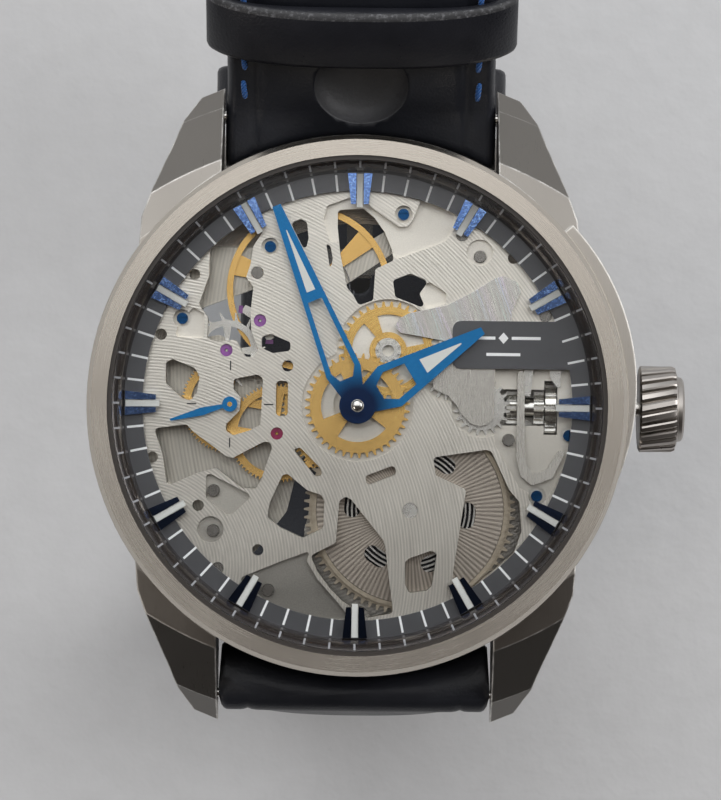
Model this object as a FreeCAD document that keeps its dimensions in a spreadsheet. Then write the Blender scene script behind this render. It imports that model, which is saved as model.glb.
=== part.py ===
import FreeCAD, Part
import math
import os
import Sketcher

# A hand-wound skeleton wristwatch on a curled leather strap, in millimetres.
# The origin is the centre of the flat outer face of the case back.
# +Z points to the dial, +Y to twelve o'clock and +X to the crown at three o'clock.

Vector = FreeCAD.Vector
doc = FreeCAD.newDocument("skeleton_wristwatch")
sheet = doc.addObject("Spreadsheet::Sheet", "Sizes")

# ---------------------------------------------------------------- driving dimensions

SIZES = {
    # case
    "case_radius": 21.5,
    "case_low": 0.9,
    "case_high": 9.3,
    "case_bore": 18.95,
    "bezel_radius": 21.3,
    "bezel_high": 11.7,
    "crystal_radius": 19.35,
    "crystal_low": 10.2,
    "crystal_high": 12.0,
    "glass_radius": 15.5,
    "lug_gap": 22.0,
    # movement
    "movement_radius": 18.3,
    "bridge_low": 2.2,
    "bridge_high": 3.0,
    "plate_low": 4.9,
    "plate_high": 6.6,
    "plate_step": 5.9,
    "ring_low": 7.05,
    "ring_high": 7.5,
    "ring_bore": 17.1,
    "stem_height": 4.6,
    "wheel_thickness": 0.2,
    "pivot_radius": 0.1,
    "jewel_bore": 0.14,
    "jewel_radius": 0.5,
    # hands
    "seconds_hand_low": 7.3,
    "hour_hand_low": 8.1,
    "minute_hand_low": 8.7,
    "hand_thickness": 0.16,
    # strap
    "bar_offset": 23.2,
    "bar_height": 2.8,
    "bar_radius": 0.75,
    "strap_width": 21.4,
    "strap_half_thickness": 1.9,
}
MEANING = "driving dimension in millimetres"


class Size(float):
    """A number that remembers the spreadsheet formula that gives it."""

    def __new__(cls, value, formula):
        made = float.__new__(cls, value)
        made.formula = formula
        return made

    def __add__(self, other):
        return Size(float(self) + float(other), f"({self.formula} + {formula_of(other)})")

    def __sub__(self, other):
        return Size(float(self) - float(other), f"({self.formula} - {formula_of(other)})")

    def __mul__(self, other):
        return Size(float(self) * float(other), f"({self.formula} * {formula_of(other)})")

    def __radd__(self, other):
        return Size(float(other) + float(self), f"({formula_of(other)} + {self.formula})")

    def __rsub__(self, other):
        return Size(float(other) - float(self), f"({formula_of(other)} - {self.formula})")

    def __neg__(self):
        return Size(-float(self), f"(0 - {self.formula})")


def formula_of(number):
    """The formula of a Size, or a plain number written out."""
    if isinstance(number, Size):
        return number.formula
    return f"({float(number):.6f})"


for row, (alias, value) in enumerate(SIZES.items(), start=1):
    sheet.set(f"A{row}", str(value))
    sheet.setAlias(f"A{row}", alias)
    sheet.set(f"B{row}", MEANING)
doc.recompute()


def size(alias):
    """One driving dimension from the spreadsheet."""
    return Size(SIZES[alias], f"Sizes.{alias}")


# ---------------------------------------------------------------- drawing helpers

made_parts = []


def bind(thing, name, number):
    """Set a property, and bind it to the spreadsheet if the number comes from there."""
    if isinstance(number, Size):
        thing.setExpression(name, number.formula)


def new_body(node, x=0.0, y=0.0, z=0.0, turn=0.0):
    """An empty body for one sub-part, standing at x, y, z and turned about Z."""
    body = doc.addObject("PartDesign::Body", node)
    body.Label = node
    spin = FreeCAD.Rotation(Vector(0, 0, 1), turn)
    body.Placement = FreeCAD.Placement(Vector(x, y, z), spin)
    for axis, number in (("x", x), ("y", y), ("z", z)):
        bind(body, f".Placement.Base.{axis}", number)
    made_parts.append(body)
    return body


def new_sketch(body, level=0.0, plane="XY_Plane"):
    """An empty sketch on one of the body's own origin planes, lifted by level."""
    sketch = body.newObject("Sketcher::SketchObject", "sketch")
    support = [f for f in body.Origin.OriginFeatures if f.Role == plane][0]
    sketch.AttachmentSupport = (support, [""])
    sketch.MapMode = "FlatFace"
    sketch.AttachmentOffset = FreeCAD.Placement(Vector(0, 0, level), FreeCAD.Rotation())
    bind(sketch, ".AttachmentOffset.Base.z", level)
    return sketch


def circle(sketch, radius, x=0.0, y=0.0):
    """A circle whose radius stays bound to the spreadsheet."""
    index = sketch.addGeometry(Part.Circle(Vector(x, y, 0), Vector(0, 0, 1), radius), False)
    constraint = sketch.addConstraint(Sketcher.Constraint("Radius", index, float(radius)))
    if isinstance(radius, Size):
        sketch.setExpression(f"Constraints[{constraint}]", radius.formula)


def polygon(sketch, corners):
    """A closed outline of straight sides."""
    ends = corners[1:] + corners[:1]
    lines = [
        Part.LineSegment(Vector(a[0], a[1], 0), Vector(b[0], b[1], 0))
        for a, b in zip(corners, ends)
    ]
    sketch.addGeometry(lines, False)


def rounded(sketch, corners, radius=0.3):
    """A closed outline with every corner rounded as far as its sides allow."""
    count = len(corners)
    stops = []
    for index in range(count):
        here = Vector(corners[index][0], corners[index][1], 0)
        before = Vector(corners[index - 1][0], corners[index - 1][1], 0) - here
        after = Vector(*corners[(index + 1) % count][:2], 0) - here
        angle = before.getAngle(after)
        room = 0.45 * min(before.Length, after.Length)
        set_back = min(radius / math.tan(angle / 2), room)
        depth = set_back * math.tan(angle / 2) * (1 / math.sin(angle / 2) - 1)
        middle = (before.normalize() + after.normalize()).normalize()
        stops.append((here + before * set_back, here + middle * depth, here + after * set_back))
    for index in range(count):
        first, crown, last = stops[index]
        sketch.addGeometry(Part.Arc(first, crown, last), False)
        sketch.addGeometry(Part.LineSegment(last, stops[(index + 1) % count][0]), False)


def arc_about(centre, radius, start, end):
    """A round edge about a centre, between two angles in degrees."""
    middle = (start + end) / 2
    spots = [
        Vector(
            centre[0] + radius * math.cos(math.radians(angle)),
            centre[1] + radius * math.sin(math.radians(angle)),
            0,
        )
        for angle in (start, middle, end)
    ]
    return Part.Arc(*spots)


def sector(sketch, inner, outer, start, end):
    """A window between two radii and two spokes."""
    edges = [arc_about((0, 0), inner, start, end), arc_about((0, 0), outer, start, end)]
    near, far = edges
    edges.append(Part.LineSegment(near.StartPoint, far.StartPoint))
    edges.append(Part.LineSegment(near.EndPoint, far.EndPoint))
    sketch.addGeometry(edges, False)


def pad(body, sketch, length, midplane=False):
    """Raise a sketch into solid."""
    feature = body.newObject("PartDesign::Pad", "pad")
    feature.Profile = sketch
    feature.Length = float(length)
    feature.Midplane = midplane
    bind(feature, "Length", length)
    body.Tip = feature
    return feature


def pocket(body, sketch, length, midplane=False, upwards=False):
    """Cut a sketch away, downwards from its plane unless told otherwise."""
    feature = body.newObject("PartDesign::Pocket", "pocket")
    feature.Profile = sketch
    feature.Length = float(length)
    feature.Midplane = midplane
    feature.Reversed = upwards
    bind(feature, "Length", length)
    body.Tip = feature
    return feature


def disc(body, radius, low, high, x=0.0, y=0.0):
    """A round boss, from low to high."""
    sketch = new_sketch(body, low)
    circle(sketch, radius, x, y)
    pad(body, sketch, high - low)


def holes(body, places, radius, top, depth):
    """Round holes of one size, cut downwards from top."""
    sketch = new_sketch(body, top)
    for x, y in places:
        circle(sketch, radius, x, y)
    pocket(body, sketch, depth)


def turned(node, profile, z=0.0):
    """A body turned about Z from a profile of (radius, height) corners, all bound to the sheet."""
    body = new_body(node, z=z)
    revolve(body, profile, "V_Axis")
    return body


def revolve(body, profile, axis, feature_kind="PartDesign::Revolution", offset=0.0):
    """Turn a closed profile of bound corners about one axis of its own sketch."""
    sketch = new_sketch(body, offset, "XZ_Plane")
    polygon(sketch, profile)
    count = len(profile)
    for index, corner in enumerate(profile):
        sketch.addConstraint(
            Sketcher.Constraint("Coincident", index - 1 if index else count - 1, 2, index, 1)
        )
        for kind, number in zip(("DistanceX", "DistanceY"), corner):
            constraint = sketch.addConstraint(
                Sketcher.Constraint(kind, -1, 1, index, 1, float(number))
            )
            if isinstance(number, Size):
                sketch.setExpression(f"Constraints[{constraint}]", number.formula)
    feature = body.newObject(feature_kind, "turning")
    feature.Profile = sketch
    feature.ReferenceAxis = (sketch, [axis])
    feature.Angle = 360.0
    body.Tip = feature
    return feature


def plain_group(node, solids):
    """Several like pieces in one node, made of primitives joined without touching."""
    group = doc.addObject("Part::Compound", node)
    group.Label = node
    group.Links = solids
    made_parts.append(group)


def cylinder(radius, low, high, x, y, name="pin"):
    """One upright round piece, bound to the sheet."""
    piece = doc.addObject("Part::Cylinder", name)
    piece.Radius = float(radius)
    piece.Height = float(high - low)
    piece.Placement = FreeCAD.Placement(Vector(x, y, low), FreeCAD.Rotation())
    bind(piece, "Radius", radius)
    bind(piece, "Height", high - low)
    bind(piece, ".Placement.Base.z", low)
    return piece


def cut(base, tool):
    """One primitive cut by another."""
    made = doc.addObject("Part::Cut", "cut")
    made.Base = base
    made.Tool = tool
    return made


def around(radius, angle, centre=(0.0, 0.0)):
    """The place at a radius and angle, in degrees, about a centre."""
    return (
        centre[0] + radius * math.cos(math.radians(angle)),
        centre[1] + radius * math.sin(math.radians(angle)),
    )


# ---------------------------------------------------------------- gear train layout

# Centres of the wheels, seen from the dial.
CENTRE = (0.0, 0.0)
BARREL = (4.3, -8.3)
THIRD = (-6.4, -2.3)
FOURTH = (-10.15, 0.0)
ESCAPE = (-10.5, 4.3)
PALLET = (-7.85, 6.7)
BALANCE = (-4.0, 9.3)
MINUTE = (2.4, 4.4)
SETTER_SMALL = (7.13, 2.19)
SETTER_LARGE = (9.92, 0.0)
CROWN_WHEEL = (11.0, 0.0)


def distance(first, second):
    """The distance between two centres."""
    return math.dist(first, second)


def heading(first, second):
    """The direction from one centre to another, in degrees."""
    return math.degrees(math.atan2(second[1] - first[1], second[0] - first[0]))


def tooth_ring(teeth, pitch_radius, tooth_angle=0.0, proud=0.45, deep=0.55):
    """Corners of a toothed ring with straight-sided teeth, one of them at tooth_angle."""
    module = 2 * pitch_radius / teeth
    root = pitch_radius - deep * 2 * module
    tip = pitch_radius + proud * 2 * module
    corners = []
    for tooth in range(teeth):
        for share, radius in ((-0.26, root), (-0.09, tip), (0.09, tip), (0.26, root)):
            angle = tooth_angle + (tooth + share) * 360 / teeth
            corners.append(around(radius, angle))
    return corners


def meshed(first, first_teeth, first_angle, second, second_teeth):
    """The tooth angle of a second gear whose teeth fall in the gaps of the first."""
    facing = heading(first, second)
    share = ((first_angle - facing) / (360 / first_teeth)) % 1.0
    return facing + 180 - (share + 0.5) * 360 / second_teeth


def shared_pitch(first, second, first_teeth, second_teeth):
    """Pitch radii of two gears that mesh between two centres."""
    whole = distance(first, second)
    first_radius = whole * first_teeth / (first_teeth + second_teeth)
    return first_radius, whole - first_radius


BARREL_PITCH, CENTRE_PINION_PITCH = shared_pitch(BARREL, CENTRE, 80, 10)
CENTRE_PITCH, THIRD_PINION_PITCH = shared_pitch(CENTRE, THIRD, 80, 10)
THIRD_PITCH, FOURTH_PINION_PITCH = shared_pitch(THIRD, FOURTH, 75, 10)
FOURTH_PITCH, ESCAPE_PINION_PITCH = shared_pitch(FOURTH, ESCAPE, 80, 8)
CANNON_PITCH, MINUTE_PITCH = shared_pitch(CENTRE, MINUTE, 12, 36)
MINUTE_PINION_PITCH, HOUR_PITCH = shared_pitch(MINUTE, CENTRE, 10, 40)
SETTER_SMALL_PITCH = distance(MINUTE, SETTER_SMALL) - MINUTE_PITCH
SETTER_LARGE_PITCH = distance(SETTER_SMALL, SETTER_LARGE) - SETTER_SMALL_PITCH
CROWN_WHEEL_PITCH, RATCHET_PITCH = shared_pitch(CROWN_WHEEL, BARREL, 42, 60)

# Levels of the train, from the back to the dial.
CENTRE_WHEEL_LOW = 3.12
BARREL_LOW = 3.5
BARREL_TEETH_HIGH = 3.9
BARREL_HIGH = 4.75
FOURTH_WHEEL_LOW = 3.72
THIRD_WHEEL_LOW = 4.3
ESCAPE_WHEEL_LOW = 4.45
MINUTE_WHEEL_LOW = 6.05
HOUR_WHEEL_LOW = 6.42
RATCHET_LOW = 1.7


def spoked_gear(body, teeth, pitch, low, high, tooth_angle, spokes, hub, rim, spoke_share=0.2):
    """A toothed wheel with windows between its spokes."""
    sketch = new_sketch(body, low)
    polygon(sketch, tooth_ring(teeth, pitch, tooth_angle))
    if spokes:
        step = 360 / spokes
        for index in range(spokes):
            start = index * step + spoke_share * step / 2
            end = (index + 1) * step - spoke_share * step / 2
            sector(sketch, hub, rim, start, end)
    pad(body, sketch, high - low)


def pinion(body, teeth, pitch, low, high, tooth_angle):
    """The small gear on an arbor."""
    sketch = new_sketch(body, low)
    polygon(sketch, tooth_ring(teeth, pitch, tooth_angle))
    pad(body, sketch, high - low)


# ---------------------------------------------------------------- case


SHOULDER_CENTRE = (3.38, 1.54)
SHOULDER_RADIUS = 18.65
SHOULDER_HIGH = 10.3
LUG_TURNING_OFFSET = 10.0


def case_middle():
    """The round case band with its four lugs."""
    body = new_body("case_middle")
    half_gap = size("lug_gap") * 0.5
    sketch = new_sketch(body, size("case_low") - 0.6)
    for side_x in (-1, 1):
        for side_y in (-1, 1):
            outline = [
                (half_gap, 17.3),
                (half_gap, 25.5),
                (12.9, 24.7),
                (14.2, 22.7),
                (15.0, 20.6),
                (16.5, 17.0),
                (17.3, 14.8),
                (17.5, 12.0),
                (15.8, 12.9),
            ]
            polygon(sketch, [(side_x * x, side_y * y) for x, y in outline])
    pad(body, sketch, size("case_high") - size("case_low"))
    # The lugs are turned too: a shallow facet, a longer one and then a steep tip. Each pair of
    # lugs is turned about its own axis, on the far side of the case.
    fall = [(28.0, 12.0), (28.0, 8.9), (31.4, 8.1), (35.5, 4.4), (37.4, 1.1), (39.0, 1.1),
            (39.0, 12.0)]
    for side in (-1, 1):
        revolve(body, fall, "V_Axis", "PartDesign::Groove", side * LUG_TURNING_OFFSET)
    # The band itself, turned about Z, with a bore for the movement.
    low = size("case_low")
    high = size("case_high")
    radius = size("case_radius")
    bore = size("case_bore")
    profile = [
        (bore, low + 0.7),
        (radius - 1.4, low),
        (radius - 0.5, low + 0.5),
        (radius, low + 1.6),
        (radius, high - 1.0),
        (radius - 0.5, high),
        (bore, high),
    ]
    revolve(body, profile, "V_Axis")
    # Blind holes for the spring bars in the inner faces of the lugs.
    sketch = new_sketch(body, plane="YZ_Plane")
    for side in (-1, 1):
        circle(sketch, 0.45, side * size("bar_offset"), size("bar_height"))
    pocket(body, sketch, size("lug_gap") + 2.4, midplane=True)
    # The shoulder at the crown's side, a crescent that stands out beyond the bezel.
    sketch = new_sketch(body, 3.2)
    outer = arc_about(SHOULDER_CENTRE, SHOULDER_RADIUS, -21.7, 43.76)
    inner = arc_about((0, 0), size("bezel_radius") + 0.03, -14.5, 40.6)
    sketch.addGeometry(
        [outer, inner, Part.LineSegment(outer.StartPoint, inner.StartPoint),
         Part.LineSegment(outer.EndPoint, inner.EndPoint)], False)
    pad(body, sketch, SHOULDER_HIGH - 3.2)
    # The tube that the crown closes on, and the tunnel for the winding stem.
    sketch = new_sketch(body, 20.5, "YZ_Plane")
    circle(sketch, 1.5, 0.0, size("stem_height"))
    pad(body, sketch, 1.5)
    sketch = new_sketch(body, 17.0, "YZ_Plane")
    circle(sketch, 0.8, 0.0, size("stem_height"))
    pocket(body, sketch, 6.0, upwards=True)


def bezel():
    """The flat brushed ring that holds the crystal."""
    high = size("bezel_high")
    seat = size("crystal_radius") + 0.35
    low = size("case_high")
    radius = size("bezel_radius")
    profile = [
        (seat, high),
        (seat, low),
        (radius, low),
        (radius, high - 0.5),
        (radius - 0.35, high),
    ]
    turned("bezel", profile)


def crystal():
    """The flat sapphire crystal with a bevelled edge."""
    radius = size("crystal_radius")
    low = size("crystal_low")
    high = size("crystal_high")
    turned(
        "crystal",
        [(Size(0, "0"), low), (radius, low), (radius, high - 0.35), (radius - 0.35, high),
         (Size(0, "0"), high)],
    )
    gasket = new_body("crystal_gasket")
    sketch = new_sketch(gasket, low)
    circle(sketch, radius + 0.35)
    circle(sketch, radius)
    pad(gasket, sketch, 1.3)


def flange_ring():
    """The sloping inner ring between the dial ring and the crystal."""
    low = size("ring_high")
    bore = size("movement_radius") + 0.25
    wall = size("case_bore") - 0.02
    ledge = size("case_high")
    seat = size("crystal_low")
    rim = size("crystal_radius") + 0.3
    profile = [(bore, low), (wall, low), (wall, ledge + 0.02), (rim, ledge + 0.02),
               (rim, seat), (rim - 0.12, seat), (wall - 0.1, ledge + 0.15)]
    turned("flange_ring", profile)


def chapter_ring():
    """The dial ring with the plain name plate that reaches in at three o'clock."""
    body = new_body("chapter_ring")
    low = size("ring_low")
    sketch = new_sketch(body, low)
    circle(sketch, size("movement_radius") + 0.6)
    circle(sketch, size("ring_bore"))
    pad(body, sketch, size("ring_high") - low)
    sketch = new_sketch(body, low)
    plate = [(7.5, 3.05), (17.6, 3.05), (17.6, 6.85), (7.5, 6.85)]
    rounded(sketch, plate, 0.7)
    pad(body, sketch, size("ring_high") - low)


def hour_markers():
    """Twelve pairs of tapering bars, with a gap between each pair for its lume."""
    bars = []
    low = size("ring_high")
    for hour in range(12):
        angle = 30.0 * hour
        for side in (-1, 1):
            one = doc.addObject("PartDesign::Body", "marker_bar")
            one.Placement.Rotation = FreeCAD.Rotation(Vector(0, 0, 1), angle)
            sketch = new_sketch(one, low)
            outline = [(16.0, 0.3), (18.45, 0.3), (18.45, 0.98), (16.0, 0.7)]
            polygon(sketch, [(x, side * y) for x, y in outline])
            pad(one, sketch, 0.6)
            bars.append(one)
    plain_group("hour_markers", bars)


def case_back():
    """The screwed back ring and its display glass."""
    low = Size(0, "0")
    glass = size("glass_radius")
    profile = [
        (glass, low),
        (size("case_bore") + 0.6, low),
        (size("case_bore") + 0.9, low + 0.4),
        (size("case_bore") + 0.9, size("case_low")),
        (size("case_bore") - 0.1, size("case_low") + 0.6),
        (size("case_bore") - 0.1, size("case_low") + 1.0),
        (glass - 0.8, size("case_low") + 0.65),
        (glass - 0.8, low + 1.2),
        (glass, low + 1.2),
    ]
    body = turned("case_back_ring", profile)
    # Six notches for the opening tool.
    sketch = new_sketch(body, low)
    for index in range(6):
        x, y = around(18.6, 60.0 * index + 30.0)
        circle(sketch, 0.7, x, y)
    pocket(body, sketch, 0.5, upwards=True)
    pane = new_body("case_back_glass")
    sketch = new_sketch(pane, low)
    circle(sketch, glass - 0.03)
    pad(pane, sketch, 1.18)


def movement_ring():
    """The spacer that centres the movement in the case."""
    body = new_body("movement_ring")
    sketch = new_sketch(body, size("bridge_high"))
    circle(sketch, size("case_bore"))
    circle(sketch, size("movement_radius"))
    pad(body, sketch, size("plate_high") - size("bridge_high"))
    sketch = new_sketch(body, 17.0, "YZ_Plane")
    circle(sketch, 0.8, 0.0, size("stem_height"))
    pocket(body, sketch, 4.0, upwards=True)


def spring_bars():
    """The two sprung bars between the lugs."""
    bars = []
    for side in (-1, 1):
        bar = doc.addObject("PartDesign::Body", "spring_bar")
        for radius, length in ((size("bar_radius"), 21.0), (0.4, 24.0)):
            sketch = new_sketch(bar, plane="YZ_Plane")
            circle(sketch, radius, side * size("bar_offset"), size("bar_height"))
            pad(bar, sketch, length, midplane=True)
        bars.append(bar)
    plain_group("spring_bars", bars)


# ---------------------------------------------------------------- main plate

# Openings right through the plate, as corners seen from the dial.
PLATE_WINDOWS = {
    "balance side": [
        (-11.9, 12.4), (-11.95, 10.2), (-12.75, 7.9), (-12.0, 6.9), (-12.05, 5.2), (-11.2, 4.95),
        (-9.75, 5.15), (-9.0, 3.8), (-8.35, 3.75), (-7.95, 4.4), (-8.55, 5.9), (-8.6, 7.4),
        (-8.4, 9.4), (-9.0, 10.1), (-8.65, 11.2), (-8.45, 12.6), (-7.75, 13.7), (-7.8, 15.35),
        (-9.8, 14.2),
    ],
    "top slit": [(-5.5, 14.5), (-4.7, 14.85), (-4.2, 14.6), (-4.05, 13.3), (-4.3, 12.2)],
    "balance top": [
        (-1.75, 15.6), (-1.75, 14.2), (-1.5, 12.0), (-0.95, 9.4), (-0.5, 8.9), (0.0, 8.0),
        (1.15, 8.4), (1.3, 10.9), (2.75, 11.6), (2.6, 12.5), (2.0, 13.9), (1.2, 15.0),
        (0.3, 15.75),
    ],
    "balance slit": [(-2.65, 12.9), (-2.3, 12.7), (-2.1, 11.7), (-2.3, 10.7)],
    "hexagon": [(2.7, 10.05), (4.1, 10.6), (5.55, 10.0), (4.85, 9.0), (5.4, 7.75), (2.9, 8.7)],
    "stones": [(-7.7, 5.4), (-7.0, 5.65), (-5.4, 5.0), (-5.4, 4.3), (-6.8, 4.1), (-7.7, 4.5)],
    "left": [
        (-15.3, 3.3), (-14.8, 3.55), (-13.0, 2.85), (-12.6, 2.2), (-12.8, 0.9), (-13.3, 0.25),
        (-14.0, 0.45), (-15.3, 1.6),
    ],
    "seconds": [
        (-9.9, 2.0), (-8.0, 2.4), (-7.55, 2.1), (-7.7, -1.6), (-8.6, -2.1), (-9.9, -2.5),
        (-10.5, -2.1), (-10.45, -1.6), (-9.4, -0.5), (-9.3, 0.5), (-9.9, 1.2),
    ],
    "lower left": [
        (-16.2, -2.0), (-13.6, -1.65), (-13.1, -2.2), (-10.4, -4.15), (-9.9, -4.3),
        (-7.5, -3.0), (-7.0, -2.95), (-6.75, -3.4), (-7.6, -6.0), (-8.0, -6.7), (-9.1, -6.7),
        (-11.2, -5.1), (-12.9, -5.6), (-15.1, -6.6), (-15.5, -4.0),
    ],
    "third slot": [(-6.5, 1.9), (-5.55, 1.9), (-5.55, -0.9), (-6.5, -0.9)],
    "centre slot": [(-5.1, -3.5), (-4.5, -3.4), (-2.9, -5.0), (-2.7, -5.6), (-3.3, -5.7)],
    "barrel slot": [(0.7, -5.6), (3.0, -4.7), (3.2, -5.4), (0.8, -6.4)],
    "barrel left": [
        (-6.9, -7.8), (-5.9, -5.6), (-5.5, -5.5), (-3.9, -6.8), (-2.8, -7.15), (-2.55, -7.6),
        (-2.6, -9.8), (-4.2, -10.6), (-6.0, -9.8), (-7.1, -9.0),
    ],
    "barrel middle": [
        (-1.35, -7.6), (-0.85, -7.25), (-0.4, -7.5), (1.3, -9.6), (2.2, -10.7), (2.35, -11.2),
        (3.05, -16.5), (1.0, -16.9), (-1.0, -15.6), (-2.0, -14.6), (-3.0, -13.3),
        (-3.6, -12.0), (-1.6, -10.95),
    ],
    "barrel right": [
        (6.1, -4.05), (10.3, -3.4), (10.75, -3.55), (12.2, -6.6), (13.0, -7.5), (13.2, -9.9),
        (12.6, -11.6), (9.3, -14.5), (7.7, -14.6), (7.8, -13.0), (8.75, -6.6), (6.3, -5.5),
    ],
    "arm": [
        (3.95, -12.4), (4.3, -12.1), (6.0, -11.5), (6.5, -11.7), (6.1, -14.3), (5.7, -14.7),
        (4.3, -14.9), (3.95, -14.2),
    ],
    "clutch": [(10.85, -1.45), (15.95, -1.45), (15.95, 1.45), (10.85, 1.45)],
    "winding pinion": [(14.9, -2.15), (15.95, -2.15), (15.95, 2.15), (14.9, 2.15)],
}

# Lower steps of the plate's dial side.
PLATE_STEPS = {
    "top": [
        (-2.6, 15.9), (-2.9, 14.8), (-2.3, 12.9), (0.3, 13.6), (2.0, 13.2), (2.9, 11.7),
        (6.0, 12.8), (6.9, 13.2), (7.5, 14.1), (7.6, 15.4), (4.9, 16.5), (4.2, 14.8),
        (3.8, 14.3), (3.1, 14.3), (0.8, 15.9), (0.3, 17.0),
    ],
    "arm side": [(5.55, 10.0), (7.0, 9.05), (6.95, 8.2), (5.4, 7.75), (4.85, 9.0)],
    "keyless": [
        (10.95, 3.0), (10.95, -2.0), (11.0, -3.0), (12.2, -5.0), (13.0, -6.4), (15.2, -7.5),
        (17.2, -3.2), (17.4, 0.0), (17.2, 3.0), (16.0, 6.0), (12.5, 6.0),
    ],
    "bottom": [
        (-9.4, -13.9), (-6.0, -12.5), (-3.6, -11.6), (-3.9, -12.4), (-3.0, -13.9),
        (-1.2, -15.9), (-0.4, -17.0), (-4.0, -17.0), (-7.0, -15.7),
    ],
    "lower pad": [
        (-12.0, -5.4), (-9.2, -6.8), (-8.3, -7.3), (-9.9, -8.8), (-10.3, -8.85), (-12.0, -7.5),
    ],
    "balance pad": [(-14.6, 5.3), (-12.3, 5.2), (-12.3, 7.2), (-13.2, 7.7), (-14.4, 6.2)],
}

DIAL_SCREWS = [(-14.05, 6.8), (3.5, 15.3), (14.4, -7.05), (16.9, -2.2), (-7.1, 12.6)]
PLATE_DIMPLES = [(9.6, 12.3), (-11.6, -10.0), (5.9, 14.8), (-4.5, -15.9)]
PLATE_HOLES = [
    (-12.6, -8.1), (-7.8, -11.6), (-5.6, 3.1), (12.3, 11.9), (-15.7, 5.5), (-13.1, 10.3),
    (-16.3, -4.3),
]
STEADY_PINS = [
    (-8.1, 10.5), (8.2, 13.7), (14.9, 7.3), (-11.0, -13.1), (12.1, -2.6), (-11.4, -6.9),
    (-11.4, -10.1), (9.65, 12.0), (-6.95, -14.8),
]
BOTTOM_JEWELS = [THIRD, ESCAPE, PALLET, BALANCE]


def main_plate():
    """The pierced plate that carries the whole movement, seen from the dial."""
    body = new_body("main_plate")
    low = size("plate_low")
    high = size("plate_high")
    step = size("plate_step")
    sketch = new_sketch(body, low)
    circle(sketch, size("movement_radius"))
    for name, corners in PLATE_WINDOWS.items():
        if name not in ("clutch", "winding pinion"):
            rounded(sketch, corners)
    pad(body, sketch, high - low)
    for name in ("clutch", "winding pinion"):
        sketch = new_sketch(body, high)
        polygon(sketch, PLATE_WINDOWS[name])
        pocket(body, sketch, high - low)
    sketch = new_sketch(body, high)
    for corners in PLATE_STEPS.values():
        rounded(sketch, corners)
    pocket(body, sketch, high - step)
    # Round sinks for the hour wheel, the minute wheel, the setting wheels and small discs.
    sinks = [(CENTRE, 4.45, 0.35), (CENTRE, 1.9, 0.65), (MINUTE, MINUTE_PITCH + 0.35, 0.65)]
    sinks.append((SETTER_SMALL, SETTER_SMALL_PITCH + 0.35, 0.65))
    sinks.append((SETTER_LARGE, SETTER_LARGE_PITCH + 0.35, 0.65))
    sinks.extend((place, 1.05, 0.45) for place in PLATE_DIMPLES)
    for place, radius, depth in sinks:
        holes(body, [place], radius, high, depth)
    holes(body, DIAL_SCREWS, 0.7, high, 0.9)
    holes(body, DIAL_SCREWS, 0.32, high, high - low)
    holes(body, PLATE_HOLES, 0.45, high, high - low)
    holes(body, STEADY_PINS, 0.5, high, high - low)
    holes(body, [CENTRE], 0.62, high, high - low)
    holes(body, [FOURTH], 0.3, high, high - low)
    holes(body, BOTTOM_JEWELS, size("jewel_radius"), high, high - low)
    holes(body, [BARREL], 0.62, high, high - low)
    # A channel under the plate for the winding stem.
    sketch = new_sketch(body, 10.0, "YZ_Plane")
    circle(sketch, 0.8, 0.0, size("stem_height"))
    pocket(body, sketch, 9.0, upwards=True)


# ---------------------------------------------------------------- bridges, at the back

BRIDGE_SCREWS = [
    (16.3, -5.6), (0.2, -17.1), (15.6, 6.6), (-15.6, -7.2), (-10.6, -13.6), (-16.6, 3.9),
    (-14.6, 8.9), (5.5, 16.2),
]


def bridge(node, corners, pillars, bearings, extra_holes=()):
    """A bridge with its pillars up to the plate, and holes for screws and jewels."""
    body = new_body(node)
    low = size("bridge_low")
    high = size("bridge_high")
    sketch = new_sketch(body, low)
    rounded(sketch, corners, 0.8)
    pad(body, sketch, high - low)
    sketch = new_sketch(body, high)
    for x, y in pillars:
        circle(sketch, 1.0, x, y)
    pad(body, sketch, size("plate_low") - high)
    holes(body, pillars, 0.32, size("plate_low"), size("plate_low") - low)
    sketch = new_sketch(body, low)
    for x, y in pillars:
        circle(sketch, 0.72, x, y)
    pocket(body, sketch, 0.35, upwards=True)
    for place in bearings:
        holes(body, [place], size("jewel_radius"), high, high - low)
    for place, radius in extra_holes:
        holes(body, [place], radius, high, high - low)
    return body


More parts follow.
